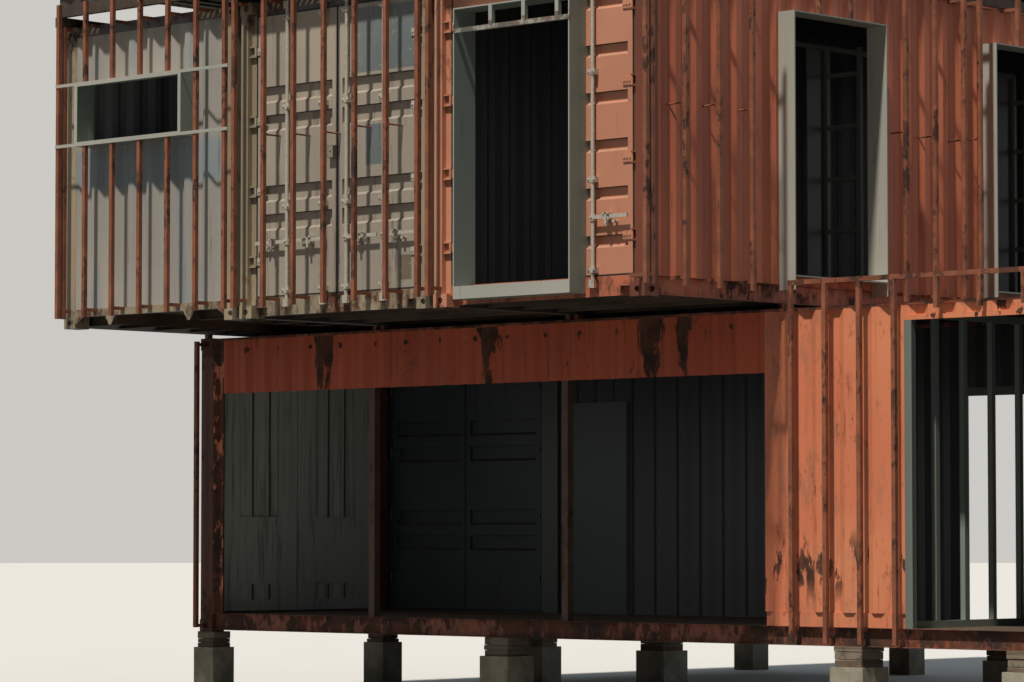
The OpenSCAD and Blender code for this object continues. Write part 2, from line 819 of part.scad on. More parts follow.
// Pier of side w with its packing block up to the given height
module pier(p, w) translate([p[0] - w / 2, p[1] - w / 2, 0]) cube([w, w, block_h]);
module packer(p, w, top) {
    side = w - 2 * packer_in;
    translate([p[0] - side / 2, p[1] - side / 2, block_h]) cube([side, side, top - block_h]);
}

corner_in = corner_w / 2 - pier_out;
side_in = pier_w / 2 - pier_out;
corner_piers = concat([for (x = [corner_in, cont_w - corner_in])
        for (y = [cont_w + rear_gap / 2, rear_y + short_l - corner_in]) [x, y]],
    [[corner_in, corner_in], [long_l - corner_in, corner_in],
        [long_l - corner_in, cont_w - corner_in]]);
side_piers = [for (x = [pier_first, pier_second, pier_third])
    for (y = [side_in, cont_w - side_in]) [x, y]];
back_post_y = rear_y + short_l - back_post_set;
back_posts = [for (x = [module_w + cont_w, total_w - back_post]) [x, back_post_y]];
post_piers = [for (p = back_posts) p + [back_post / 2, back_post / 2]];

module piers() {
    color([0.66, 0.65, 0.6]) {
        for (p = concat(corner_piers, post_piers)) pier(p, corner_w);
        for (p = side_piers) pier(p, pier_w);
    }
}

module pier_packers() {
    color([0.42, 0.36, 0.3]) {
        for (p = concat(corner_piers, post_piers)) packer(p, corner_w, pier_h);
        for (p = side_piers) packer(p, pier_w, pier_h + rail_lift);
    }
}

module lower_posts() color([0.6, 0.3, 0.2]) at_lower() posts(long_l);

module lower_rails() {
    color([0.65, 0.33, 0.22]) at_lower() {
        side_rails(long_l);
        door_end_rails([]);
        closed_end_rails(long_l, true);
    }
}

module lower_floor() color([0.3, 0.25, 0.2]) at_lower() floor_deck(long_l, true);
module lower_roof() color([0.6, 0.35, 0.28]) at_lower() roof_panel(long_l);

// Stretch of the lower container's front between two places along X
module front_panel(x0, x1, z0 = floor_z, top = wall_top) {
    at_lower() translate([cont_w, 0, 0]) mirror([1, 0, 0]) side_panel(x0, x1, z0, top);
}

// Stretch of the lower container's back between two places along X
module back_panel(x0, x1, z0 = floor_z, top = wall_top) at_lower() side_panel(x0, x1, z0, top);

module lower_front_wall() {
    color([0.87, 0.48, 0.34]) {
        front_panel(cast_l, front_open_x);
        front_panel(front_open_end, bay_x, band_z);
        translate([front_open_end, sheet_x + side_depth / 2, z1 + floor_z])
            cube([bay_x - front_open_end, side_depth / 2 + sheet_t, band_z - floor_z]);
        front_panel(bay_end, long_l - cast_l);
    }
}

module lower_back_wall() {
    color([0.3, 0.3, 0.3]) {
        back_panel(link_end + link_jamb, back_door_x);
        back_panel(back_door_x + back_door_w, garden_x - bay_bar);
        back_panel(garden_x + garden_w + bay_bar, long_l - cast_l);
    }
}

module lower_end_wall() color([0.8, 0.45, 0.33]) at_lower() closed_end(long_l);

module lower_lintels() {
    color([0.8, 0.42, 0.3]) {
        front_panel(front_open_x, front_open_end, front_open_top);
        front_panel(bay_x, bay_end, bay_top + bay_lip);
        translate([bay_x, setback, z1 + bay_top])
            cube([bay_w, sheet_back - setback, bay_lip]);
        back_panel(back_door_x, back_door_x + back_door_w, back_door_top);
        back_panel(garden_x - bay_bar, garden_x + garden_w + bay_bar, garden_top + bay_bar);
    }
}

module lower_front_leaf() {
    color([0.62, 0.66, 0.6]) at_lower() {
        right_place() lined_leaf();
        translate([cont_w / 2, 0, 0]) {
            translate([rod_inner, 0, 0]) lock_rod(1);
            translate([rod_outer, 0, 0]) lock_rod(1);
        }
    }
}

module lower_back_leaf() {
    color([0.62, 0.66, 0.6]) at_lower() {
        left_place() lined_leaf();
        translate([cont_w / 2, 0, 0]) {
            translate([-rod_inner, 0, 0]) lock_rod(-1);
            translate([-rod_outer, 0, 0]) lock_rod(-1);
        }
    }
}

module opening_posts() {
    color([0.5, 0.3, 0.22]) for (k = [1, 2])
        translate([k * module_w - prop_set - prop_w / 2, sheet_back + 3, z1 + floor_z])
            cube([prop_w, prop_w, rail_under - floor_z]);
}

// Upright bars at both sides of the bay
module bay_frame() {
    color([0.55, 0.58, 0.55]) for (x = [bay_x, bay_end - bay_bar])
        translate([x, setback, z1 + floor_z]) cube([bay_bar, top_rail, bay_top - floor_z]);
}

// Stud wall that runs back from the bay's left bar, between a bottom and a top track
module bay_studs() {
    y0 = setback + top_rail + seat;
    foot = floor_z + track_h + seat;
    color([0.58, 0.6, 0.58]) translate([bay_x - stud_w / 2, 0, z1]) {
        for (z = [floor_z, rail_under - track_h])
            translate([0, y0, z]) cube([stud_w, cont_w - 2 * y0, track_h]);
        for (k = [0:stud_n - 1]) translate([0, stud_first + k * stud_pitch, foot])
            cube([stud_w, stud_w, rail_under - track_h - seat - foot]);
    }
}

module back_frames() {
    y = cont_w - sheet_back;
    d = side_depth + sheet_t;
    color([0.5, 0.54, 0.52]) {
        translate([link_end, y, z1 + floor_z]) cube([link_jamb, d, wall_top - floor_z]);
        translate([garden_x - bay_bar, y, z1 + floor_z]) difference() {
            cube([garden_w + 2 * bay_bar, d, garden_top + bay_bar - floor_z]);
            translate([bay_bar, -1, -1]) cube([garden_w, d + 2, garden_top - floor_z + 1]);
        }
    }
}

module doorway_board() {
    color([0.6, 0.6, 0.56])
        translate([back_door_x, cont_w - sheet_x - side_depth, z1 + floor_z])
            cube([back_door_w, board_t, back_door_top - floor_z]);
}

// Bars on the solid front wall, at the left corner and over the glazing bay
first_bar_x = total_w + wall_bar_set;
last_bar_x = first_bar_x + 3 * wall_bar_pitch;
bay_post_n = floor((long_l - last_bar_x) / bay_post_pitch);
terrace_z = cont_h + terrace_rise - bar_w;

module lower_bars() {
    lip_reach = low_clad_out + setback;
    color([0.45, 0.25, 0.18]) translate([0, -low_clad_out, z1]) {
        translate([bar_w / 2, 0, 0]) clad_bar(low_bar_foot, cont_h - bracket_w,
            [for (z = [cast_h / 2, cont_h - cast_h / 2]) [z, low_clad_out]]);
        for (k = [0:3]) translate([first_bar_x + k * wall_bar_pitch, 0, 0])
            clad_bar(low_bar_foot, terrace_z, [[low_tie, lip_reach], [high_tie, lip_reach]]);
        for (k = [1:bay_post_n]) {
            x = last_bar_x + k * bay_post_pitch;
            on_casting = x > long_l - cast_l;
            translate([x, 0, 0]) clad_bar(cont_h - post_drop, terrace_z,
                [[high_tie, on_casting ? low_clad_out : lip_reach]]);
        }
    }
}

module terrace_rail() {
    x = total_w + terrace_set;
    color([0.45, 0.25, 0.18]) translate([x, -low_clad_out, z1 + terrace_z])
        cube([long_l - x, bar_w, bar_w]);
}

module rear_posts() color([0.35, 0.38, 0.4]) at_rear() posts(short_l);

module rear_rails() {
    color([0.35, 0.38, 0.4]) at_rear() {
        side_rails(short_l);
        door_end_rails([]);
        closed_end_rails(short_l, false);
    }
}

module rear_floor() color([0.3, 0.25, 0.2]) at_rear() floor_deck(short_l, false);
module rear_roof() color([0.35, 0.38, 0.4]) at_rear() roof_panel(short_l);

module rear_walls() {
    color([0.38, 0.41, 0.44]) at_rear() {
        both_sides() side_wall(short_l);
        closed_end(short_l);
    }
}

module rear_left_leaf() color([0.3, 0.33, 0.38]) at_rear() left_place() grey_leaf();
module rear_right_leaf() color([0.3, 0.33, 0.38]) at_rear() right_place() grey_leaf();

// Steel posts and beam that carry the back of the two right-hand upper containers
module back_support() {
    beam_z = z2 + rail_lift - back_beam_h;
    color([0.45, 0.27, 0.2]) {
        translate([cont_w, back_post_y, beam_z]) cube([total_w - cont_w, back_post, back_beam_h]);
        for (p = back_posts) translate([p[0], p[1], z1]) cube([back_post, back_post, beam_z - z1]);
    }
}

// Steel plates between the lower containers' top rails and the upper side rails
module bearing_plates() {
    ends = [sheet_back, cont_w - sheet_back - top_rail];
    color([0.3, 0.28, 0.26]) for (k = [0:2]) for (x = [setback, cont_w - setback - rail_d]) {
        on_casting = k == 0 && x == setback;
        z = z1 + (on_casting ? cont_h : roof_z);
        for (y = ends) translate([k * module_w + x, y, z])
            cube([rail_d, top_rail, z2 + rail_lift - z]);
        if (k == 0) translate([x, rear_y + short_l - cast_l - plate_l, z1 + roof_z])
            cube([rail_d, plate_l, z2 + rail_lift - z1 - roof_z]);
    }
}

module upper_posts() {
    color([0.6, 0.58, 0.52]) {
        at_a() posts(long_l);
        at_b() posts(long_l);
    }
    color([0.87, 0.5, 0.37]) at_c() posts(long_l);
}

module upper_rails() {
    color([0.6, 0.58, 0.52]) {
        at_a() rails_set(rod_places());
        at_b() rails_set(rod_places());
    }
    color([0.87, 0.5, 0.37]) at_c() rails_set([orange_rod_x]);
}

module rails_set(places) {
    side_rails(long_l);
    door_end_rails(places);
    closed_end_rails(long_l, true);
}

module upper_floors() {
    color([0.3, 0.25, 0.2]) {
        at_a() floor_deck(long_l, true);
        at_b() floor_deck(long_l, true);
        at_c() floor_deck(long_l, true);
    }
}

module upper_roofs() {
    color([0.55, 0.5, 0.45]) {
        at_a() roof_panel(long_l);
        at_b() roof_panel(long_l);
        at_c() roof_panel(long_l);
    }
}

module upper_walls() {
    color([0.6, 0.6, 0.58]) {
        at_a() both_sides() side_wall(long_l);
        at_b() both_sides() side_wall(long_l);
        at_b() closed_end(long_l);
    }
    color([0.8, 0.42, 0.3]) at_c() {
        side_wall(long_l);
        closed_end(long_l);
    }
}

module grey_end_wall() {
    color([0.68, 0.68, 0.63]) difference() {
        at_a() closed_end(long_l);
        translate([high_win_x, front_y - 1, z2 + high_z]) cube([high_win_w, cast_l, high_win_h]);
    }
}

// Box of plates around the high window, with bars that tie it to the cladding
module high_window() {
    d = clad_out + sheet_x + end_depth + sheet_t;
    color([0.6, 0.64, 0.58]) translate([high_win_x, front_y - clad_out, z2 + high_z]) {
        difference() {
            cube([high_win_w, d, high_win_h]);
            translate([box_t, -1, box_t])
                cube([high_win_w - 2 * box_t, d + 2, high_win_h - 2 * box_t]);
        }
        difference() {
            translate([0, -border_t, 0]) cube([high_win_w, border_t, high_win_h]);
            translate([win_border, -border_t - 1, win_border])
                cube([high_win_w - 2 * win_border, border_t + 2, high_win_h - 2 * win_border]);
        }
        for (z = [0, high_win_h - tie_h])
            translate([bar_edge + bar_shift - bar_w / 2 - high_win_x, -border_t, z])
                cube([cont_w, border_t, tie_h]);
    }
}

module grey_doors() {
    color([0.6, 0.6, 0.56]) at_b() {
        left_place() grey_leaf();
        right_place() grey_leaf();
    }
}

module grey_door_rods() {
    color([0.8, 0.8, 0.76]) at_b() translate([cont_w / 2, 0, 0]) for (s = [-1, 1]) {
        translate([s * rod_inner, 0, 0]) lock_rod(s);
        translate([s * rod_outer, 0, 0]) lock_rod(s);
    }
}

module back_doors() {
    color([0.6, 0.6, 0.56]) at_a() {
        left_place() grey_leaf();
        right_place() grey_leaf();
        translate([cont_w / 2, 0, 0]) for (s = [-1, 1]) {
            translate([s * rod_inner, 0, 0]) lock_rod(s);
            translate([s * rod_outer, 0, 0]) lock_rod(s);
        }
    }
}

module orange_doors() {
    color([0.88, 0.52, 0.38]) at_c() difference() {
        union() {
            left_place() orange_leaf();
            right_place() orange_leaf();
        }
        translate([doorway_x, 0, 0]) cube([doorway_w, cast_l, doorway_top]);
        translate([leaf_x + leaf_w - 1, 0, 0]) cube([meet_gap + 2, cast_l, doorway_top]);
    }
}

module orange_door_rod() {
    color([0.8, 0.78, 0.72]) at_c() translate([orange_rod_x, 0, 0]) lock_rod(1);
}

// Box of plates around the upper doorway, with its crossbar and three short uprights
module upper_doorway() {
    y0 = doorway_set - clad_out;
    light_w = (doorway_w - light_first - light_last) / 2;
    color([0.52, 0.57, 0.52]) at_c() translate([doorway_x, y0, 0]) {
        for (x = [0, doorway_w - box_t]) {
            translate([x, 0, doorway_z]) cube([box_t, end_face - y0, doorway_top - doorway_z]);
            translate([x, 0, sill_top]) cube([box_t, doorway_d, doorway_top - sill_top]);
        }
        translate([0, 0, doorway_top - box_t]) cube([doorway_w, doorway_d, box_t]);
        translate([0, 0, doorway_z]) cube([doorway_w, end_face - y0, doorway_foot]);
        translate([box_t, 0, transom_z]) cube([doorway_w - 2 * box_t, light_bar, light_bar]);
        for (k = [0:2]) translate([light_first + k * light_w, 0, transom_z + light_bar])
            cube([light_bar, light_bar, doorway_top - box_t - transom_z - light_bar]);
    }
}

function win_y(k) = side_win_y + overhang + k * side_win_pitch;

// The side with windows is drawn from the right-hand container's other side
module window_side() at_c() translate([cont_w, 0, 0]) mirror([1, 0, 0]) children();

module window_wall() {
    ends = concat([for (k = [0:side_win_n - 1]) win_y(k)], [long_l - cast_l]);
    starts = concat([cast_l], [for (k = [0:side_win_n - 1]) win_y(k) + side_win_w]);
    color([0.75, 0.38, 0.26]) window_side() for (k = [0:side_win_n])
        side_panel(starts[k], ends[k]);
}

module window_lintels() {
    color([0.75, 0.38, 0.26]) window_side() for (k = [0:side_win_n - 1]) {
        side_panel(win_y(k), win_y(k) + side_win_w, side_win_top, wall_top);
        side_panel(win_y(k), win_y(k) + side_win_w, floor_z, side_win_z);
    }
}

// Boxes of plates whose side plates reach down in front of the bottom rail
module side_windows() {
    d = clad_out + sheet_back;
    h = side_win_top - side_win_z;
    color([0.7, 0.72, 0.66]) window_side() for (k = [0:side_win_n - 1])
        translate([-clad_out, win_y(k), side_win_z]) {
            difference() {
                cube([d, side_win_w, h]);
                translate([-1, box_t, box_t]) cube([d + 2, side_win_w - 2 * box_t, h - 2 * box_t]);
            }
            for (y = [0, side_win_w - box_t]) translate([0, y, jamb_foot - side_win_z])
                cube([clad_out + setback, box_t, side_win_z - jamb_foot + box_t]);
        }
}

// Frames that stand on the floor between the side windows, with a head rail on top of them
module inner_frames() {
    h = side_win_top - inner_bar - seat - floor_z;
    stud_x = [inner_set - inner_w, inner_set - inner_plate_t - inner_bar];
    stud_y = inner_plate_d - inner_bar;
    color([0.5, 0.55, 0.52]) window_side() {
        for (k = [0:inner_n - 1])
            translate([0, win_y(k) + side_win_w + inner_after, floor_z]) {
                translate([inner_set - inner_plate_t, 0, 0]) cube([inner_plate_t, inner_plate_d, h]);
                for (x = stud_x) translate([x, stud_y, 0]) cube([inner_bar, inner_bar, h]);
                for (j = [0:rung_n - 1])
                    translate([stud_x[0], stud_y,
                        side_win_top - floor_z - rung_drop - j * rung_pitch - inner_bar / 2])
                        cube([stud_x[1] - stud_x[0], inner_bar, inner_bar]);
            }
        translate([inner_set - inner_bar, win_y(0) + side_win_w + inner_after - head_reach,
            side_win_top - inner_bar])
            cube([inner_bar, head_reach + (inner_n - 1) * side_win_pitch + inner_plate_d, inner_bar]);
    }
}

// Bars in front of the three ends. Bars at the window stop above and below it.
module front_bars() {
    low = [low_tie, reach(setback)];
    high = [high_tie, reach(setback)];
    corner = [high_tie, reach(0)];
    door_ties = [[low_tie, reach(end_face)], [high_tie, reach(end_face)]];
    color([0.5, 0.27, 0.18]) translate([bar_edge + bar_shift, front_y - clad_out, z2]) {
        for (k = [0:end_bar_n]) translate([k * end_bar_pitch, 0, 0]) {
            x = bar_edge + bar_shift + k * end_bar_pitch;
            if (x > high_win_x - bar_w && x < high_win_x + high_win_w + bar_w) {
                clad_bar(bar_foot, high_z, [low]);
                clad_bar(high_z + high_win_h, bar_top, [high]);
            } else {
                clad_bar(bar_foot, bar_top, [low, x < cast_w || x > cont_w - cast_w ? corner : high]);
            }
        }
        translate([-bar_w / 2, twin_gap, bar_foot]) cube([bar_w, bar_w, cont_h - bar_foot]);
        for (k = [0:end_bar_n]) translate([module_w + k * end_bar_pitch, 0, 0])
            clad_bar(bar_foot, bar_top, k == 0 || k == end_bar_n ? [low, corner] : door_ties);
        translate([2 * module_w, 0, 0]) clad_bar(bar_foot, bar_top, [low, corner]);
    }
}

// Positions of the bars along the side with windows
win_end = [for (k = [0:side_win_n - 1]) win_y(k) + side_win_w];
last_end = win_end[side_win_n - 1];
last_run = long_l - side_first - last_end - after_win;
window_side_ys = concat(
    [for (k = [0:2]) side_first + k * side_bar_pitch],
    [for (k = [0:side_win_n - 2]) for (y = [0, 1, 2, 3])
        y < 3 ? win_end[k] + after_win + y * side_bar_pitch : win_y(k + 1) - before_win],
    [for (k = [0:floor(last_run / side_bar_pitch)]) last_end + after_win + k * side_bar_pitch],
    [long_l - side_first]);

// Pair of bars standing clear of a container's corner at x = 0, y = 0, on two arms
module corner_bars() {
    for (y = [0, twin_gap]) translate([-clad_out, y - clad_out, bar_foot])
        cube([bar_w, bar_w, bar_top - bar_foot]);
    for (t = [[low_tie, setback], [high_tie, 0]]) translate([0, 0, t[0] - bracket_w / 2]) {
        translate([setback + 20, -front_reach, 0])
            cube([bracket_w, front_reach + t[1], bracket_w]);
        translate([-clad_out, -front_reach, 0])
            cube([clad_out + setback + 20 + bracket_w, bracket_w, bracket_w]);
    }
}

module side_bars() {
    high = [high_tie, reach(setback)];
    color([0.5, 0.27, 0.18]) window_side() {
        translate([-clad_out, 0, 0]) {
            for (y = window_side_ys) translate([0, y, 0]) rotate([0, 0, -90])
                clad_bar(bar_foot, bar_top, [[low_tie, reach(setback)], high]);
            for (k = [0:side_win_n - 1]) for (j = [0:over_win_n - 1])
                translate([0, win_y(k) + over_win + j * side_bar_pitch, 0]) rotate([0, 0, -90])
                    clad_bar(side_win_top, bar_top, [high]);
        }
        corner_bars();
    }
}

module back_bars() {
    color([0.5, 0.27, 0.18]) for (m = [0:2]) translate([m * module_w, back_y + clad_out, z2])
        for (k = [0:end_bar_n]) {
            edge = k == 0 || k == end_bar_n;
            face = m == 0 && !edge ? end_face : setback;
            translate([bar_edge + k * end_bar_pitch, 0, 0]) rotate([0, 0, 180])
                clad_bar(bar_foot, bar_top, [[low_tie, reach(face)],
                    [high_tie, reach(edge ? 0 : face)]]);
        }
}

// Place of the roof's front left corner, on top of the upper containers
module at_roof() translate([0, front_y - front_reach, z2 + cont_h]) children();
roof_span = long_l + 2 * front_reach;

// Joists along the containers, over their corner castings
module roof_joists() {
    inner = [for (k = [1, 2]) k * module_w - (cont_gap + joist_w) / 2];
    color([0.42, 0.3, 0.25]) at_roof() for (x = concat([0], inner, [total_w - joist_w]))
        translate([x, 0, 0]) cube([joist_w, roof_span, joist_h]);
}

// Channel beams across the joists, open to the front
module roof_beams() {
    color([0.45, 0.3, 0.24]) at_roof() for (k = [0:beam_n - 1])
        translate([0, k * (roof_span - beam_d) / (beam_n - 1), joist_h]) rotate([90, 0, 90])
            linear_extrude(total_w) channel(beam_h, beam_d, rail_t);
}

module roof_sheet() {
    out = front_reach + eave;
    l = long_l + 2 * out;
    color([0.5, 0.5, 0.48])
        translate([-side_eave, front_y - out + l, z2 + cont_h + joist_h + beam_h])
            rotate([90, 0, 0]) corrugated(total_w + 2 * side_eave, l, rib_pitch, rib_h);
}

piers();
pier_packers();
lower_posts();
lower_rails();
lower_floor();
lower_roof();
lower_front_wall();
lower_back_wall();
lower_end_wall();
lower_lintels();
lower_front_leaf();
lower_back_leaf();
opening_posts();
bay_frame();
bay_studs();
back_frames();
doorway_board();
lower_bars();
terrace_rail();
rear_posts();
rear_rails();
rear_floor();
rear_roof();
rear_walls();
rear_left_leaf();
rear_right_leaf();
back_support();
bearing_plates();
upper_posts();
upper_rails();
upper_floors();
upper_roofs();
upper_walls();
grey_end_wall();
high_window();
grey_doors();
grey_door_rods();
back_doors();
orange_doors();
orange_door_rod();
upper_doorway();
window_wall();
window_lintels();
side_windows();
inner_frames();
front_bars();
side_bars();
back_bars();
roof_joists();
roof_beams();
roof_sheet();
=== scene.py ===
"""Looks of the shipping container cabin: finishes, small fittings, stage, light and camera."""
import math
import random
from functools import partial, reduce
from types import SimpleNamespace

import bmesh
import bpy
from bpy.props import FloatProperty, FloatVectorProperty, IntProperty, PointerProperty
from mathutils import Matrix, Vector


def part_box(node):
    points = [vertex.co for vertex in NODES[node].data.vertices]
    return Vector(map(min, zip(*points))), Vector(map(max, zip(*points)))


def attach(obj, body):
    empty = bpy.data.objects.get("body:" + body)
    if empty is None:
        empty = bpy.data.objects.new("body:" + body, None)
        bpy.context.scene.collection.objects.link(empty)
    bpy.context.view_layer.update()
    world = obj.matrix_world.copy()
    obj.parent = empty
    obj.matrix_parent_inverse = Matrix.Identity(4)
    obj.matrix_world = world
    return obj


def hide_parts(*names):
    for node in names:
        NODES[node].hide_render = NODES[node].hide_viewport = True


bl_info = {
    "name": "Container cabin finish",
    "version": (1, 1, 0),
    "blender": (4, 5, 0),
    "location": "View3D > Sidebar > Cabin",
    "description": "Finishes, fittings and stage for the container cabin",
    "category": "Object",
}

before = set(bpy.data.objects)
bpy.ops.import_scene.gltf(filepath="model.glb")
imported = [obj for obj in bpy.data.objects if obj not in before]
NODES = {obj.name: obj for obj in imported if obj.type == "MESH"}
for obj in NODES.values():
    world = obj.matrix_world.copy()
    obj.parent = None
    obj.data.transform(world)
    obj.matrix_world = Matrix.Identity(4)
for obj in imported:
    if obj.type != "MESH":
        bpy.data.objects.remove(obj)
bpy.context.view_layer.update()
ROOT = "building"

# Sizes taken from the frame, in metres
UPPER_LOW, UPPER_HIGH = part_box("upper_posts")
LOWER_LOW, LOWER_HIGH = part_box("lower_posts")
REAR_LOW, REAR_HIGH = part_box("rear_posts")
WIDTH = REAR_HIGH.x - REAR_LOW.x
HEIGHT = LOWER_HIGH.z - LOWER_LOW.z
MODULE = (UPPER_HIGH.x - UPPER_LOW.x - WIDTH) / 2
SECOND_LINE = UPPER_LOW.x + MODULE - (MODULE - WIDTH) / 2
THIRD_LINE = SECOND_LINE + MODULE
LEAF_LOW, LEAF_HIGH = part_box("rear_left_leaf")
LEAF_FOOT = LEAF_LOW.z - REAR_LOW.z
LEAF_HEAD = LEAF_HIGH.z - REAR_LOW.z
LEAF_EDGE = LEAF_HIGH.x - REAR_LOW.x
DOORWAY_LOW, DOORWAY_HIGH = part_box("upper_doorway")

# Real sizes of the container doors, in metres
HINGE_REACH = 0.017
LEAF_THICK = 0.050
BLADE_THICK = 0.008
BLADE_LENGTH = 0.110
BLADE_HEIGHT = 0.076
HINGES = 4
ROD_OUTER = 0.620
ROD_INNER = 0.150
ROD_BESIDE = 0.101
ROD_AHEAD = 0.032
GUIDE_FRONT = 0.053
GUIDE_EDGE = 0.043
BAND_GUIDES = (0.803, 1.708)
HANDLE_HEIGHT = 0.680
CATCH_PLACE = 0.170

# Sizes of the cladding bars' ties and of a plywood sheet, in metres
BAR_SIDE = 0.040
TIE_LEVEL = 1.63
WALL_FACE = 0.040
PLY_LENGTH, PLY_WIDTH = 2.4, 1.17

# The seals at the sill and the header reach this many times as far as the upright ones
SILL_SEAL = 2.42
# A pitch that no container repeats at
FAR = 100.0

# The photograph's camera, the light and the stage
CAMERA_PLACE = (27.490, -24.685, 1.571)
CAMERA_YAW = 43.280
CAMERA_PITCH = 2.960
CAMERA_LENS = 130.47
SENSOR = 36.0
SUNWARD = (0.17, -1.0, 2.08)
KEY_ENERGY = 3.9
FRONT_FILL = 0.09
BACK_FILL = 0.36
BOUNCE = 0.26
KEY_ANGLE = 2.5
KEY_TINT = (1.0, 0.95, 0.88)
STAGE_PLACE = (4.0, 4.0, -0.002)
STAGE_RADIUS = 160.0
SIGHT = 400.0

# Defaults and colours that shaders share
ORIGIN = (0.0, 0.0, 0.0)
BLACK = (0.0, 0.0, 0.0, 1.0)
FADED = (0.75, 0.72, 0.68, 1.0)
RAIN_RUN = (0.30, 0.20, 0.15, 1.0)
SKY = (0.72, 0.87, 1.0, 1.0)


def colour(name, default, words):
    """A colour that a user can change."""
    return FloatVectorProperty(
        name=name, description=words, subtype="COLOR_GAMMA", size=3, min=0, max=1, default=default
    )


class CabinColours(bpy.types.PropertyGroup):
    """Paint and plate colours, as they look on a screen."""

    grey_wall: colour("Grey wall", (0.63, 0.61, 0.575), "Paint of the closed end at the left")
    grey_door: colour("Grey doors", (0.63, 0.59, 0.535), "Paint of the middle doors")
    grey_post: colour("Grey posts", (0.58, 0.53, 0.44), "Posts and rails of the grey containers")
    slate: colour("Slate patch", (0.42, 0.45, 0.45), "Painted patches on the middle doors")
    salmon: colour("Salmon doors", (0.78, 0.53, 0.42), "Paint of the right-hand doors")
    side: colour("Orange side", (0.70, 0.39, 0.28), "Paint of the right-hand side wall")
    lower: colour("Lower orange", (0.87, 0.505, 0.36), "Paint of the lower container")
    # The header strip colour is darker than the lower paint: partly the strip's own redder paint,
    # partly painted shade of the storey above
    strip: colour("Header strip", (0.74, 0.32, 0.185), "Paint over the large opening")
    lower_rail: colour("Lower rails", (0.60, 0.32, 0.22), "Rails and posts of the lower container")
    dark: colour("Dark steel", (0.25, 0.28, 0.30), "Paint of the rear container and its doors")
    # Dark inner paint: partly the walls' own grey paint, partly painted shade
    inside: colour("Inner wall", (0.195, 0.22, 0.235), "Inner faces of the walls")
    door_green: colour("Left doors", (0.60, 0.63, 0.59), "Doors at the left end")
    door_inner: colour("Left doors, inner", (0.84, 0.86, 0.81), "Inner faces of the left doors")
    board: colour("Board", (0.26, 0.29, 0.31), "Board in the back doorway")
    plate: colour("Frame plate", (0.52, 0.56, 0.525), "Boxes round the windows and the doorway")
    # A paler copy of the frame plate, for faces that look to the front and up, as painted light
    pale_plate: colour("Pale plate", (0.71, 0.70, 0.655), "Sunlit plates of the window boxes")
    bar: colour("Bars", (0.50, 0.30, 0.21), "Cladding bars")
    opening: colour("Opening posts", (0.31, 0.23, 0.19), "Square posts in the large opening")
    beam: colour("Beams", (0.25, 0.21, 0.18), "Roof beams")
    zinc: colour("Zinc", (0.80, 0.77, 0.71), "Lock rods and hinges")
    ply: colour("Floor", (0.33, 0.27, 0.21), "Plywood floor")
    concrete: colour("Concrete", (0.66, 0.63, 0.55), "Pier blocks")
    packer: colour("Packing", (0.43, 0.36, 0.29), "Packing blocks")
    header: colour("Headers", (0.24, 0.25, 0.26), "Top rails over the doors and the closed ends")
    roof: colour("Roof", (0.50, 0.49, 0.46), "Roof sheet")
    floor: colour("Stage floor", (0.83, 0.82, 0.80), "Plain floor round the cabin")


class CabinWear(bpy.types.PropertyGroup):
    """How worn the cabin looks."""

    rust: FloatProperty(
        name="Rust", description="Share of rusty steel", default=0.5, min=0, max=1, subtype="FACTOR"
    )
    streaks: FloatProperty(
        name="Streaks", description="Strength of the rain streaks", default=0.55, min=0, max=1,
        subtype="FACTOR",
    )
    seed: IntProperty(name="Seed", description="Start of the random draws", default=7, min=0)


def length(name, default, low, high, words):
    """A small size that a user can change, in metres."""
    return FloatProperty(
        name=name, description=words, unit="LENGTH", min=low, max=high, default=default
    )


class CabinSizes(bpy.types.PropertyGroup):
    """Sizes of the small fittings."""

    seal: length("Seal", 0.004, 0.002, 0.0041, "Reach of a rubber door seal beyond the leaf")
    bolt: length("Bolt", 0.009, 0.005, 0.02, "Radius of a bolt head")
    bolt_sides: IntProperty(
        name="Bolt sides", description="Sides of a bolt head", default=6, min=5, max=12
    )
    tie: length("Tie", 0.008, 0.005, 0.012, "Radius of the ties between bars and walls")
    layers: IntProperty(
        name="Layers", description="Layers in a packing stack", default=3, min=2, max=5
    )


def linear(rgb):
    """Screen colour as the linear colour that a shader reads."""
    limit, low, offset, power = 0.04045, 12.92, 0.055, 2.4
    values = [c / low if c <= limit else ((c + offset) / (1 + offset)) ** power for c in rgb]
    return (*values, 1.0)


def paints():
    """The user's colours as linear ones, by name."""
    tones = bpy.context.scene.cabin_colours
    return SimpleNamespace(**{key: linear(getattr(tones, key)) for key in tones.__annotations__})


def shade(rgb, factor):
    """A lighter or darker version of a linear colour."""
    return (*(min(1.0, c * factor) for c in rgb[:3]), 1.0)


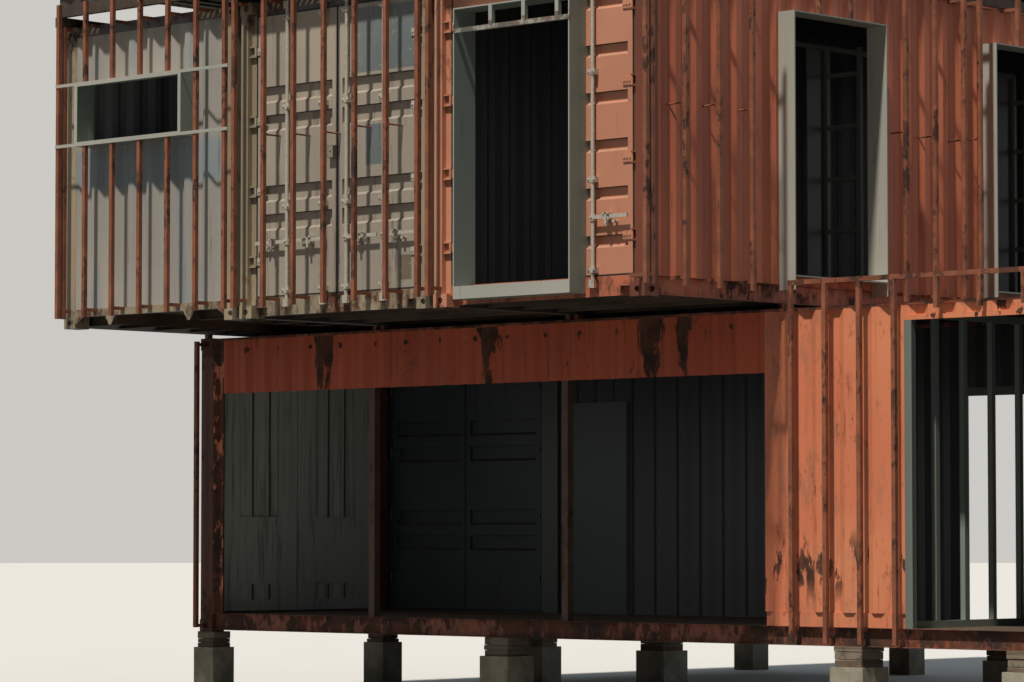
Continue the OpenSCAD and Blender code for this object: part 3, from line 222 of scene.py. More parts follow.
class Net:
    """Short calls for building a node tree."""

    def __init__(self, tree):
        self.tree = tree
        self.nodes = tree.nodes

    def node(self, kind, values=None, **settings):
        made = self.nodes.new("ShaderNode" + kind)
        for key, value in settings.items():
            setattr(made, key, value)
        for key, value in (values or {}).items():
            self.feed(made.inputs[key], value)
        return made

    def feed(self, socket, value):
        if isinstance(value, bpy.types.NodeSocket):
            self.tree.links.new(value, socket)
        else:
            socket.default_value = value

    def math(self, operation, first, second=0.0, clamp=False):
        made = self.node("Math", {0: first, 1: second}, operation=operation, use_clamp=clamp)
        return made.outputs[0]

    def plus(self, first, second, clamp=False):
        return self.math("ADD", first, second, clamp)

    def minus(self, first, second, clamp=False):
        return self.math("SUBTRACT", first, second, clamp)

    def above(self, value, limit):
        return self.math("GREATER_THAN", value, limit)

    def below(self, value, limit):
        return self.math("LESS_THAN", value, limit)

    def flip(self, mask):
        """1 where the mask is 0."""
        return self.minus(1.0, mask)

    def times(self, *values):
        """Product of several values or masks."""
        return reduce(partial(self.math, "MULTIPLY"), values)

    def either(self, *masks):
        """Largest of several masks."""
        return reduce(partial(self.math, "MAXIMUM"), masks)

    def smooth(self, value, low, high):
        made = self.node(
            "MapRange", {"Value": value, "From Min": low, "From Max": high},
            interpolation_type="SMOOTHSTEP",
        )
        return made.outputs["Result"]

    def between(self, value, low, high, soft=0.01):
        """Mask of the values from low to high."""
        rise = self.smooth(value, low - soft, low + soft)
        fall = self.smooth(value, high - soft, high + soft)
        return self.minus(rise, fall, clamp=True)

    def noise(self, vector, scale, detail=4.0, rough=0.6, stretch=None):
        if stretch:
            vector = self.vector("MULTIPLY", vector, stretch)
        values = {"Vector": vector, "Scale": scale, "Detail": detail, "Roughness": rough}
        return self.node("TexNoise", values).outputs["Fac"]

    def vector(self, operation, first, second):
        return self.node("VectorMath", {0: first, 1: second}, operation=operation).outputs[0]

    def cells(self, vector, scale):
        return self.node("TexVoronoi", {"Vector": vector, "Scale": scale}).outputs["Distance"]

    def mix(self, factor, first, second, blend="MIX"):
        made = self.node("Mix", data_type="RGBA", blend_type=blend)
        self.feed(made.inputs[0], factor)
        self.feed(made.inputs[6], first)
        self.feed(made.inputs[7], second)
        return made.outputs[2]

    def split(self, vector):
        return self.node("SeparateXYZ", {0: vector}).outputs

    def group(self, name, vector, **values):
        """Outputs of a shared group, fed with a vector and other values."""
        made = self.nodes.new("ShaderNodeGroup")
        made.node_tree = shared(name)
        for key, value in {"Vector": vector, **values}.items():
            self.feed(made.inputs[key], value)
        return made.outputs


def new_group(name, outputs, **inputs):
    """A shader node group of a vector and other inputs. Returns its net, inputs and outputs.

    An input's default sets its kind: a number, three values for a vector or four for a colour.
    """
    tree = bpy.data.node_groups.new(name, "ShaderNodeTree")
    for label, default in {"Vector": ORIGIN, **inputs}.items():
        kind = "Float" if isinstance(default, float) else {3: "Vector", 4: "Color"}[len(default)]
        socket = tree.interface.new_socket(label, in_out="INPUT", socket_type="NodeSocket" + kind)
        socket.default_value = default
    for label in outputs:
        kind = "Color" if label == "Color" else "Float"
        tree.interface.new_socket(label, in_out="OUTPUT", socket_type="NodeSocket" + kind)
    net = Net(tree)
    source = tree.nodes.new("NodeGroupInput").outputs
    sink = tree.nodes.new("NodeGroupOutput").inputs
    return net, source, sink


def weathering_group():
    """Rust patches, rain streaks and faded paint."""
    outputs = ("Rust", "Halo", "Streak", "Fade", "Relief")
    net, given, result = new_group("Weathering", outputs, Rust=0.5, Streaks=0.5, Seed=0.0)
    shift = net.node("CombineXYZ", {0: given["Seed"], 1: given["Seed"], 2: given["Seed"]})
    place = net.vector("ADD", given["Vector"], shift.outputs[0])
    broad = net.noise(place, 1.6, 4.0, 0.6, (1.0, 1.0, 0.6))
    fine = net.noise(place, 13.0, 8.0, 0.72, (1.0, 1.0, 0.55))
    blend = net.plus(net.times(broad, 0.45), net.times(fine, 0.55))
    edge = net.minus(0.74, net.times(given["Rust"], 0.30))
    rust = net.smooth(blend, edge, net.plus(edge, 0.035))
    halo = net.smooth(blend, net.minus(edge, 0.07), edge)
    runs = net.noise(place, 16.0, 5.0, 0.65, (1.0, 1.0, 0.05))
    start = net.minus(0.70, net.times(given["Streaks"], 0.22))
    streak = net.smooth(runs, start, net.plus(start, 0.16))
    streak = net.times(streak, net.smooth(broad, 0.35, 0.65))
    fade = net.noise(place, 0.6, 3.0, 0.5)
    relief = net.plus(net.times(rust, fine), net.times(fine, 0.25))
    for key, value in zip(outputs, (rust, halo, streak, fade, relief)):
        net.feed(result[key], value)
    return net.tree


def rust_colour_group():
    """Colour of rust, from dark scale to fresh orange."""
    net, given, result = new_group("Rust colour", ("Color",))
    grain = net.noise(given["Vector"], 22.0, 6.0, 0.7)
    patch = net.noise(given["Vector"], 3.0, 4.0, 0.6)
    dark = linear((0.19, 0.13, 0.11))
    warm = linear((0.40, 0.24, 0.17))
    fresh = linear((0.55, 0.34, 0.22))
    base = net.mix(net.smooth(patch, 0.35, 0.65), dark, warm)
    net.feed(result["Color"], net.mix(net.smooth(grain, 0.55, 0.8), base, fresh))
    return net.tree


def storey_group():
    """How close a point is to the foot or the head of its storey."""
    net, given, result = new_group("Storey", ("Foot", "Head"))
    step = UPPER_LOW.z - LOWER_LOW.z
    height = net.minus(net.split(given["Vector"])[2], LOWER_LOW.z)
    local = net.minus(height, net.times(net.above(height, step), step))
    wave = net.noise(given["Vector"], 2.5, 4.0, 0.6)
    ragged = net.plus(local, net.times(net.minus(wave, 0.5), 0.6))
    net.feed(result["Foot"], net.flip(net.smooth(ragged, 0.1, 0.55)))
    net.feed(result["Head"], net.smooth(ragged, 2.35, 2.8))
    return net.tree


def edge_wear_group():
    """Bare, scuffed edges."""
    net, given, result = new_group("Edge wear", ("Mask",), Radius=0.006)
    bevel = net.node("Bevel", {"Radius": given["Radius"]}, samples=3).outputs[0]
    normal = net.node("NewGeometry").outputs["True Normal"]
    dot = net.node("VectorMath", {0: bevel, 1: normal}, operation="DOT_PRODUCT").outputs["Value"]
    sharp = net.smooth(net.flip(dot), 0.01, 0.12)
    chips = net.smooth(net.noise(given["Vector"], 14.0, 6.0, 0.7), 0.42, 0.6)
    net.feed(result["Mask"], net.times(sharp, chips))
    return net.tree


def dust_group():
    """Dust that lies on what faces up."""
    net, given, result = new_group("Dust", ("Mask",), Amount=0.5)
    up = net.split(net.node("NewGeometry").outputs["Normal"])[2]
    flat = net.smooth(up, 0.5, 0.95)
    patch = net.smooth(net.noise(given["Vector"], 5.0, 6.0, 0.65), 0.3, 0.7)
    net.feed(result["Mask"], net.times(net.times(flat, patch), given["Amount"]))
    return net.tree


def by_container_group():
    """One of three colours, by the upper container that a point belongs to."""
    net, given, result = new_group(
        "By container", ("Color",), Left=BLACK, Middle=BLACK, Right=BLACK
    )
    across = net.split(given["Vector"])[0]
    first = net.mix(net.above(across, SECOND_LINE), given["Left"], given["Middle"])
    net.feed(result["Color"], net.mix(net.above(across, THIRD_LINE), first, given["Right"]))
    return net.tree


def inner_face_group():
    """Mask of the faces that look into a container, and of every face that looks down."""
    net, given, result = new_group("Inner face", ("Mask",), Low=ORIGIN, Size=ORIGIN, Pitch=1.0)
    offset = net.vector("SUBTRACT", given["Vector"], given["Low"])
    across, along = net.split(offset)[0:2]
    across = net.math("FLOORED_MODULO", across, given["Pitch"])
    half_x, half_y = (net.times(value, 0.5) for value in net.split(given["Size"])[0:2])
    dx, dy = net.minus(across, half_x), net.minus(along, half_y)
    normal = net.split(net.node("NewGeometry").outputs["True Normal"])
    face_x = net.times(normal[0], net.math("SIGN", dx))
    face_y = net.times(normal[1], net.math("SIGN", dy))
    gap_x = net.minus(half_x, net.math("ABSOLUTE", dx))
    gap_y = net.minus(half_y, net.math("ABSOLUTE", dy))
    at_end = net.below(gap_y, gap_x)
    side = net.times(net.below(face_x, -0.05), net.flip(at_end))
    end = net.times(net.below(face_y, -0.05), at_end)
    under = net.below(normal[2], -0.5)
    net.feed(result["Mask"], net.either(side, end, under))
    return net.tree


def stain_group():
    """A ragged stain that hangs from the top of a wall."""
    net, given, result = new_group("Stain", ("Mask",), Place=0.0, Half=0.1, Top=0.0, Drop=0.4)
    across, _, up = net.split(given["Vector"])
    wave = net.noise(given["Vector"], 9.0, 6.0, 0.7, (1.0, 1.0, 0.35))
    away = net.math("ABSOLUTE", net.minus(across, given["Place"]))
    side = net.math("DIVIDE", away, given["Half"])
    down = net.math("DIVIDE", net.minus(given["Top"], up), given["Drop"])
    spread = net.plus(net.times(side, 0.55), net.times(down, 0.45))
    field = net.minus(wave, net.times(spread, 0.42))
    below = net.above(down, 0.0)
    net.feed(result["Mask"], net.times(net.smooth(field, 0.20, 0.27), below))
    return net.tree


GROUPS = {}


def shared(name):
    """The shared node group of that name, built once."""
    makers = {
        "weathering": weathering_group, "rust": rust_colour_group, "storey": storey_group,
        "edges": edge_wear_group, "dust": dust_group, "containers": by_container_group,
        "inner": inner_face_group, "stain": stain_group,
    }
    if name not in GROUPS:
        GROUPS[name] = makers[name]()
    return GROUPS[name]


def new_material(name):
    """An empty material with its net, its shader and the object's own coordinates."""
    material = bpy.data.materials.new(name)
    material.use_nodes = True
    material.node_tree.nodes.clear()
    net = Net(material.node_tree)
    shader = net.node("BsdfPrincipled")
    output = net.node("OutputMaterial")
    net.feed(output.inputs["Surface"], shader.outputs[0])
    place = net.node("TexCoord").outputs["Object"]
    return material, net, shader, place


def surface(net, shader, tint, rough, height, strength, distance):
    """Gives the shader its colour, its roughness and its relief."""
    net.feed(shader.inputs["Base Color"], tint)
    net.feed(shader.inputs["Roughness"], rough)
    relief = net.node("Bump", {"Height": height, "Strength": strength, "Distance": distance})
    net.feed(shader.inputs["Normal"], relief.outputs["Normal"])


def steel_paint(name, base, rust=0.5, streaks=0.5, seed=0.0, foot=0.3, marks=None, stains=None,
                inner=None):
    """Weathered paint on steel.

    base is a linear colour, or a function that returns a socket. marks repaints some places,
    stains returns a mask of more rust, and inner is (mask function, colour or function) for
    inner faces.
    """
    wear = bpy.context.scene.cabin_wear
    material, net, shader, place = new_material(name)
    paint = base(net, place) if callable(base) else base
    if marks:
        paint = marks(net, place, paint)
    hidden = 0.0
    if inner:
        mask, cover = inner
        hidden = mask(net, place)
        paint = net.mix(hidden, paint, cover(net, place) if callable(cover) else cover)
    storey = net.group("storey", place)
    extra = net.times(net.plus(storey["Foot"], storey["Head"]), foot)
    amount = net.times(net.plus(extra, rust * 2 * wear.rust), net.flip(net.times(hidden, 0.55)))
    drawn = streaks * 2 * wear.streaks
    worn = net.group("weathering", place, Rust=amount, Streaks=drawn, Seed=seed)
    rusty = net.group("rust", place)["Color"]
    faded = net.mix(net.smooth(worn["Fade"], 0.35, 0.7), paint, FADED, "SOFT_LIGHT")
    dirty = net.mix(net.times(worn["Streak"], 0.75), faded, RAIN_RUN, "MULTIPLY")
    ringed = net.mix(net.times(worn["Halo"], 0.5), dirty, rusty)
    scale = net.either(worn["Rust"], stains(net, place)) if stains else worn["Rust"]
    coated = net.mix(scale, ringed, rusty)
    chipped = net.mix(net.times(net.group("edges", place)["Mask"], 0.5), coated, rusty)
    dust = net.group("dust", place, Amount=0.6)["Mask"]
    rough = net.plus(net.times(scale, 0.35), 0.5)
    surface(net, shader, net.mix(dust, chipped, linear((0.50, 0.45, 0.39))),
            net.plus(rough, net.times(dust, 0.2), clamp=True), worn["Relief"], 0.5, 0.006)
    return material


def rusty_tube(name, base, seed=0.0):
    """Rusty square tube."""
    material, net, shader, place = new_material(name)
    worn = net.group("weathering", place, Rust=0.7, Streaks=0.5, Seed=seed)
    tone = net.mix(net.smooth(net.noise(place, 6.0, 5.0, 0.6), 0.35, 0.7), base, shade(base, 1.6))
    mixed = net.mix(worn["Rust"], tone, net.group("rust", place)["Color"])
    edges = net.times(net.group("edges", place)["Mask"], 0.45)
    surface(net, shader, net.mix(edges, mixed, linear((0.55, 0.40, 0.30))),
            net.plus(0.62, net.times(worn["Rust"], 0.25)), worn["Relief"], 0.6, 0.004)
    return material


def frame_plate(name, base, pale, stains=None):
    """Grey green plate with scuffs, runs and a little rust. Its faces that look to the front and
    those that look up get the pale plate, as painted light.
    """
    material, net, shader, place = new_material(name)
    worn = net.group("weathering", place, Rust=0.22, Streaks=0.6, Seed=31.0)
    scuff = net.smooth(net.noise(place, 4.0, 6.0, 0.7, (3.0, 3.0, 24.0)), 0.62, 0.75)
    normal = net.split(net.node("NewGeometry").outputs["True Normal"])
    # Painted light: faces that look to the front and up, towards the key light, are paler
    front = net.either(net.below(normal[1], -0.5), net.above(normal[2], 0.5))
    cover = net.mix(front, base, pale)
    tone = net.mix(net.smooth(worn["Fade"], 0.35, 0.65), cover, net.mix(0.3, cover, base))
    run = net.mix(net.times(worn["Streak"], 0.5), tone, shade(base, 0.45))
    bright = net.mix(net.times(scuff, 0.4), run, linear((0.72, 0.73, 0.69)))
    scale = net.either(worn["Rust"], stains(net, place)) if stains else worn["Rust"]
    surface(net, shader, net.mix(scale, bright, net.group("rust", place)["Color"]),
            net.plus(0.42, net.times(scuff, 0.2)), worn["Relief"], 0.3, 0.003)
    return material


def zinc_steel(name, base, rust=0.36):
    """Galvanised steel, dulled and spotted with rust."""
    material, net, shader, place = new_material(name)
    worn = net.group("weathering", place, Rust=rust, Streaks=0.4, Seed=57.0)
    rusty = net.group("rust", place)["Color"]
    cells = net.cells(place, 60.0)
    tone = net.mix(net.smooth(cells, 0.2, 0.7), base, shade(base, 0.78))
    grey = net.mix(net.times(worn["Halo"], 0.5), tone, rusty)
    net.feed(shader.inputs["Metallic"], net.times(net.flip(worn["Rust"]), 0.15))
    surface(net, shader, net.mix(worn["Rust"], grey, rusty),
            net.plus(0.45, net.times(cells, 0.2)), worn["Relief"], 0.4, 0.003)
    return material


def plywood(name, base):
    """Worn plywood sheets laid across the container."""
    material, net, shader, place = new_material(name)
    grain = net.noise(place, 2.0, 8.0, 0.65, (3.0, 30.0, 30.0))
    stain = net.smooth(net.noise(place, 1.4, 6.0, 0.6), 0.4, 0.65)
    sheets = {"Vector": place, "Scale": 1.0, "Mortar Size": 0.004, "Mortar Smooth": 0.2,
              "Brick Width": PLY_LENGTH, "Row Height": PLY_WIDTH}
    joints = net.node("TexBrick", sheets).outputs["Fac"]
    tone = net.mix(grain, shade(base, 0.65), shade(base, 1.4))
    dirty = net.mix(net.times(stain, 0.6), tone, shade(base, 0.4))
    surface(net, shader, net.mix(joints, dirty, shade(base, 0.15)),
            net.plus(0.65, net.times(stain, 0.2)), net.minus(grain, joints), 0.4, 0.003)
    return material


def cast_concrete(name, base):
    """Rough concrete with pores, stains and a damp foot."""
    material, net, shader, place = new_material(name)
    cloud = net.noise(place, 4.0, 8.0, 0.65)
    pores = net.smooth(net.cells(place, 55.0), 0.25, 0.05)
    wave = net.plus(net.split(place)[2], net.times(cloud, 0.25))
    damp = net.flip(net.smooth(wave, 0.15, 0.4))
    tone = net.mix(net.smooth(cloud, 0.3, 0.7), shade(base, 0.7), shade(base, 1.25))
    wet = net.mix(net.times(damp, 0.6), tone, linear((0.36, 0.34, 0.27)))
    surface(net, shader, net.mix(net.times(pores, 0.6), wet, shade(base, 0.5)), 0.92,
            net.minus(cloud, pores), 0.7, 0.006)
    return material


def rough_block(name, base):
    """Old timber and brick packing."""
    material, net, shader, place = new_material(name)
    grain = net.noise(place, 4.0, 8.0, 0.7, (2.0, 2.0, 22.0))
    layer = net.smooth(net.noise(place, 1.7, 1.0, 0.5, (0.4, 0.4, 9.0)), 0.4, 0.6)
    patch = net.smooth(net.noise(place, 7.0, 5.0, 0.6), 0.5, 0.7)
    tone = net.mix(grain, shade(base, 0.5), shade(base, 1.6))
    toned = net.mix(layer, tone, linear((0.55, 0.50, 0.43)))
    surface(net, shader, net.mix(patch, toned, shade(base, 0.6)), 0.9, grain, 0.7, 0.006)
    return material


def rubber(name):
    """Perished black rubber."""
    material, net, shader, place = new_material(name)
    chalk = net.smooth(net.noise(place, 12.0, 6.0, 0.7), 0.45, 0.75)
    tone = net.mix(chalk, linear((0.09, 0.10, 0.11)), linear((0.22, 0.23, 0.24)))
    surface(net, shader, tone, net.plus(0.6, net.times(chalk, 0.3)), chalk, 0.3, 0.002)
    return material


def by_container(left, middle, right):
    """Base colour that changes with the upper container."""
    def base(net, place):
        return net.group("containers", place, Left=left, Middle=middle, Right=right)["Color"]
    return base


def inside_of(low, high, pitch=FAR):
    """Mask function of the faces that look into a container, or into several at a pitch."""
    across, along = high.x - low.x, high.y - low.y
    size = (across if across > along else WIDTH, along, 1.0)

    def mask(net, place):
        return net.group("inner", place, Low=tuple(low), Size=size, Pitch=pitch)["Mask"]
    return mask


def area(net, place, low, high):
    """Mask of a stretch of a front, between two corners given as (x, z)."""
    across, _, up = net.split(place)
    wide = net.between(across, low[0], high[0], 0.004)
    return net.times(wide, net.between(up, low[1], high[1], 0.004))


def hazard_bands(spans, foot, head, step=0.075):
    """Marks of slanted pale and dark bands, over stretches of a header along X."""
    def marks(net, place, paint):
        across, _, up = net.split(place)
        wave = net.math("FLOORED_MODULO", net.minus(across, net.times(up, 0.6)), step)
        pale = net.below(wave, step / 2)
        bands = net.mix(pale, linear((0.13, 0.12, 0.11)), linear((0.72, 0.66, 0.52)))
        for low, high in spans:
            paint = net.mix(area(net, place, (low, foot), (high, head)), paint, bands)
        return paint
    return marks


def dress(material, nodes):
    """Gives CAD nodes, named in one string, a finish."""
    for name in nodes.split():
        for slot in NODES[name].material_slots:
            slot.material = material


class Shape:
    """Collects blocks, rods and bolts into one mesh."""

    def __init__(self):
        self.mesh = bmesh.new()

    def block(self, first, second):
        low = Vector(map(min, first, second))
        high = Vector(map(max, first, second))
        matrix = Matrix.Translation((low + high) / 2) @ Matrix.Diagonal((*(high - low), 1))
        return bmesh.ops.create_cube(self.mesh, size=1.0, matrix=matrix)["verts"]

    def rod(self, start, end, radius, sides=10):
        start, end = Vector(start), Vector(end)
        span = end - start
        turn = span.to_track_quat("Z", "Y").to_matrix().to_4x4()
        bmesh.ops.create_cone(
            self.mesh, cap_ends=True, segments=sides, radius1=radius, radius2=radius,
            depth=span.length, matrix=Matrix.Translation((start + end) / 2) @ turn,
        )

    def bolt(self, place, out):
        """A bolt head on its washer. out points away from the surface."""
        sizes = bpy.context.scene.cabin_sizes
        place, out = Vector(place), Vector(out)
        self.rod(place - out * 0.001, place + out * sizes.bolt * 0.25, sizes.bolt * 1.55, 12)
        self.rod(place, place + out * sizes.bolt * 0.85, sizes.bolt, sizes.bolt_sides)

    def piece(self, name, material, body, slot, bevel=0.0):
        """Turns the mesh into a piece that rides on a body."""
        data = bpy.data.meshes.new(name)
        self.mesh.to_mesh(data)
        self.mesh.free()
        data.materials.append(material)
        made = bpy.data.objects.new(name, data)
        bpy.context.scene.collection.objects.link(made)
        if bevel:
            modifier = made.modifiers.new("edges", "BEVEL")
            modifier.width = bevel
            modifier.segments = 2
            modifier.limit_method = "ANGLE"
        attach(made, body)
        return made


def loose_parts(name):
    """Boxes round the separate solids of a CAD node."""
    mesh = bmesh.new()
    mesh.from_mesh(NODES[name].data)
    bmesh.ops.remove_doubles(mesh, verts=mesh.verts, dist=1e-5)
    waiting = set(mesh.verts)
    boxes = []
    while waiting:
        found, edge = set(), [waiting.pop()]
        while edge:
            vertex = edge.pop()
            found.add(vertex)
            for link in vertex.link_edges:
                other = link.other_vert(vertex)
                if other in waiting:
                    waiting.remove(other)
                    edge.append(other)
        low = Vector(min(v.co[k] for v in found) for k in range(3))
        high = Vector(max(v.co[k] for v in found) for k in range(3))
        boxes.append((low, high))
    mesh.free()
    return sorted(boxes, key=lambda box: tuple(round(v, 3) for v in box[0]))


class DoorEnd:
    """The door end of a container, with its own axes: across, into the container, and up."""

    def __init__(self, name, origin, across, inward, bodies=(ROOT, ROOT), rods=True, paint="zinc"):
        self.name = name
        self.paint = paint
        self.origin = Vector(origin)
        self.across = Vector(across)
        self.inward = Vector(inward)
        self.bodies = bodies
        self.rods = rods

    def point(self, x, y, z):
        return self.origin + self.across * x + self.inward * y + Vector((0, 0, z))

    def leaf(self, side):
        """Outer and meeting edge of the leaf at side -1 or 1, across the door end."""
        hinge = LEAF_LOW.x - REAR_LOW.x + HINGE_REACH
        edges = (hinge, LEAF_EDGE)
        return edges if side < 0 else tuple(WIDTH - v for v in edges)

    def leaves(self):
        """Side, body and name of each leaf."""
        return zip((-1, 1), self.bodies, ("left", "right"))

    def rod_places(self, side):
        """Places of the lock rods on a leaf. Only one is left beside the doorway."""
        if not self.rods:
            return []
        if self.name == "right":
            return [DOORWAY_HIGH.x - self.origin.x + ROD_BESIDE] if side > 0 else []
        return [WIDTH / 2 + side * reach for reach in (ROD_INNER, ROD_OUTER)]


LEAF_FRONT = LEAF_HIGH.y - REAR_LOW.y - LEAF_THICK
DOOR_ENDS = (
    DoorEnd("middle", (UPPER_LOW.x + MODULE, UPPER_LOW.y, UPPER_LOW.z), (1, 0, 0), (0, 1, 0)),
    DoorEnd("right", (UPPER_LOW.x + 2 * MODULE, UPPER_LOW.y, UPPER_LOW.z), (1, 0, 0), (0, 1, 0),
            paint="salmon"),
    DoorEnd("back", (UPPER_LOW.x + WIDTH, UPPER_HIGH.y, UPPER_LOW.z), (-1, 0, 0), (0, -1, 0)),
    DoorEnd("rear", REAR_LOW, (1, 0, 0), (0, 1, 0), ("rear_left_leaf", "rear_right_leaf"),
            rods=False, paint="dark"),
    DoorEnd("lower", (LOWER_LOW.x, LOWER_HIGH.y, LOWER_LOW.z), (0, -1, 0), (1, 0, 0),
            ("lower_back_leaf", "lower_front_leaf")),
)


class CABIN_OT_steel(bpy.types.Operator):
    """Paint the containers' posts, rails, walls, roofs and doors"""

    bl_idname = "cabin.steel"
    bl_label = "Container paint"

    def execute(self, context):
        tones = paints()
        side, lower, dark, inside = tones.side, tones.lower, tones.dark, tones.inside
        # Painted light and shade inside: the left container's inner faces are pale, as painted
        # light, and the right one's darker, as painted shade; the lower and rear containers get
        # darker copies of their paints, as painted shade
        interior_light_and_shade = by_container(linear((0.60, 0.63, 0.65)), inside, shade(inside, 0.7))
        upper_inner = (inside_of(UPPER_LOW, UPPER_HIGH, MODULE), interior_light_and_shade)
        lower_inner = (inside_of(LOWER_LOW, LOWER_HIGH), shade(inside, 0.72))
        rear_inner = (inside_of(REAR_LOW, REAR_HIGH), shade(dark, 0.8))
        top = UPPER_HIGH.z

        def coat(name, nodes, base, **looks):
            dress(steel_paint(name, base, **looks), nodes)

        def strip_paint_and_shade(net, place):
            """The strip over the large opening is darker and redder than the wall beside it: partly
            its own paint, partly painted shade of the storey above.
            """
            past = net.above(net.split(place)[0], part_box("orange_doors")[1].x)
            return net.mix(past, tones.strip, lower)

        def strip_stains(net, place):
            """Dark stains on the strip, with a row of spots along its top."""
            edge = LOWER_LOW.z + HEIGHT - 0.03
            across, _, up = net.split(place)
            masks = []
            for spot, half in ((1.71, 0.13), (3.92, 0.10), (5.89, 0.12), (6.29, 0.10)):
                stain = net.group("stain", place, Place=spot, Half=half, Top=edge, Drop=0.5)
                masks.append(stain["Mask"])
            spacing, radius = 0.44, 0.026
            dx = net.minus(net.math("FLOORED_MODULO", across, spacing), spacing / 2)
            dz = net.minus(up, edge - 0.10)
            far = net.plus(net.times(dx, dx), net.times(dz, dz))
            wave = net.noise(place, 26.0, 5.0, 0.7, (1.0, 1.0, 0.5))
            ragged = net.times(far, net.math("POWER", net.times(wave, 2.0), 4.0))
            masks.append(net.smooth(ragged, radius ** 2, radius ** 2 * 0.7))
            low_spots = net.noise(place, 7.5, 6.0, 0.7, (1.0, 1.0, 0.45))
            return net.either(*masks, net.smooth(low_spots, 0.63, 0.67))

        def worn_foot(net, place):
            """Worn patches along the foot of the front wall."""
            across, _, up = net.split(place)
            band = net.between(up, LOWER_LOW.z + 0.45, LOWER_LOW.z + 0.92, 0.16)
            patch = net.noise(place, 7.0, 6.0, 0.7, (1.0, 1.0, 0.3))
            left = net.below(across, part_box("lower_lintels")[0].x + 0.3)
            scale = net.smooth(net.noise(place, 6.0, 5.0, 0.65, (1.0, 1.0, 0.5)), 0.41, 0.47)
            return net.either(net.times(net.smooth(patch, 0.55, 0.6), band), net.times(left, scale))

        def tan_patches(net, place, paint):
            """Chalky and tan patches that run down the wall."""
            wide = net.smooth(net.noise(place, 4.2, 7.0, 0.72, (1.0, 1.0, 0.28)), 0.50, 0.62)
            chalk = net.mix(net.times(wide, 0.55), paint, linear((0.66, 0.46, 0.35)))
            fine = net.smooth(net.noise(place, 11.0, 7.0, 0.7, (1.0, 1.0, 0.4)), 0.57, 0.66)
            return net.mix(net.times(fine, 0.6), chalk, linear((0.62, 0.32, 0.20)))

        def shaded_corner(net, place, paint):
            """Painted shade: the left-hand corner posts are painted darker."""
            left = net.below(net.split(place)[0], LOWER_LOW.x + 0.2)
            return net.mix(net.times(left, 0.7), paint, linear((0.16, 0.13, 0.12)))

        coat("lower paint", "lower_front_wall lower_end_wall", lower, rust=0.30, streaks=0.55,
             seed=3.0, foot=0.12, marks=tan_patches, stains=worn_foot, inner=lower_inner)
        coat("strip paint", "lower_lintels", strip_paint_and_shade, rust=0.30, streaks=0.7, seed=5.0, foot=0.1,
             stains=strip_stains, inner=lower_inner)
        coat("lower roof paint", "lower_roof", lower, rust=0.55, streaks=0.4, seed=6.0,
             inner=lower_inner)
        coat("lower rail paint", "lower_posts lower_rails", tones.lower_rail, rust=0.6, streaks=0.6,
             seed=9.0, marks=shaded_corner)
        coat("back wall paint", "lower_back_wall", lower, rust=0.3, seed=14.0, foot=0.15,
             inner=lower_inner)
        coat("rear paint", "rear_posts rear_rails rear_roof rear_walls", dark, rust=0.25, seed=19.0,
             inner=rear_inner)
        coat("rear door paint", "rear_left_leaf rear_right_leaf", dark, rust=0.25, seed=21.0)

        def own_normal(net):
            """Parts of the normal in the leaf's own directions."""
            return net.split(net.node("TexCoord").outputs["Normal"])

        def leaf_back(net, place):
            """Mask of the leaves' inner faces."""
            return net.above(own_normal(net)[0], 0.02)

        def shaded_folds(net, place):
            """Paint of the inner faces, with painted shade on the slanted sides of their folds,
            most on the sides that face one way along the leaf.
            """
            across, along, _ = own_normal(net)
            slanted, away = net.below(across, 0.96), net.above(along, 0.1)
            fold_shade = net.times(slanted, net.plus(0.35, net.times(away, 0.55)))
            return net.mix(fold_shade, tones.door_inner, shade(tones.door_inner, 0.12))

        coat("left door paint", "lower_front_leaf lower_back_leaf", tones.door_green, rust=0.32,
             streaks=0.85, seed=24.0, inner=(leaf_back, shaded_folds))
        coat("board", "doorway_board", tones.board, rust=0.05, streaks=0.3, seed=26.0, foot=0.1)

        bands = hazard_bands(((0.16, 0.48), (1.9, 2.28), (2.66, 3.62)), top - 0.085, top - 0.02)

        def header(net, place, paint):
            """Dark top rails at the front, with slanted bands."""
            _, along, up = net.split(place)
            front = net.times(net.below(along, UPPER_LOW.y + 0.3), net.above(up, top - 0.125))
            return bands(net, place, net.mix(front, paint, tones.header))

        def post_marks(net, place, paint):
            """The post beside the salmon doors has their paint, and the corner post is darker."""
            low, high = UPPER_LOW.x + 2 * MODULE, UPPER_LOW.x + 2 * MODULE + WIDTH / 4
            across = net.split(place)[0]
            first = net.mix(net.between(across, low - 0.01, high, 0.002), paint, tones.salmon)
            return net.mix(net.above(across, high), first, shade(side, 0.33))

        def door_patches(net, place, paint):
            """Bare painted patches on the right-hand leaf of the middle doors."""
            front = net.below(net.split(place)[1], 0.0)
            brown = linear((0.45, 0.40, 0.33))
            for low, high, cover in (
                ((3.93, 5.66), (4.69, 6.24), tones.slate),
                ((4.06, 4.83), (4.36, 5.19), tones.slate),
                ((4.49, 3.79), (4.635, 4.01), brown),
            ):
                worn = net.smooth(net.noise(place, 18.0, 6.0, 0.7), 0.68, 0.6)
                mask = net.times(area(net, place, low, high), front, worn)
                paint = net.mix(mask, paint, cover)
            return paint

        def window_shadow_band(net, place, paint):
            """A bluish band of painted shadow under the high window, where the window box casts its
            shadow, and bluish patches beside it.
            """
            band = net.times(net.between(net.split(place)[2], 4.83, 5.22, 0.06), 0.7)
            patch = net.smooth(net.noise(place, 5.0, 4.0, 0.6, (1.0, 1.0, 0.12)), 0.50, 0.62)
            mask = net.either(band, net.times(patch, 0.45))
            return net.mix(mask, paint, linear((0.50, 0.57, 0.60)))

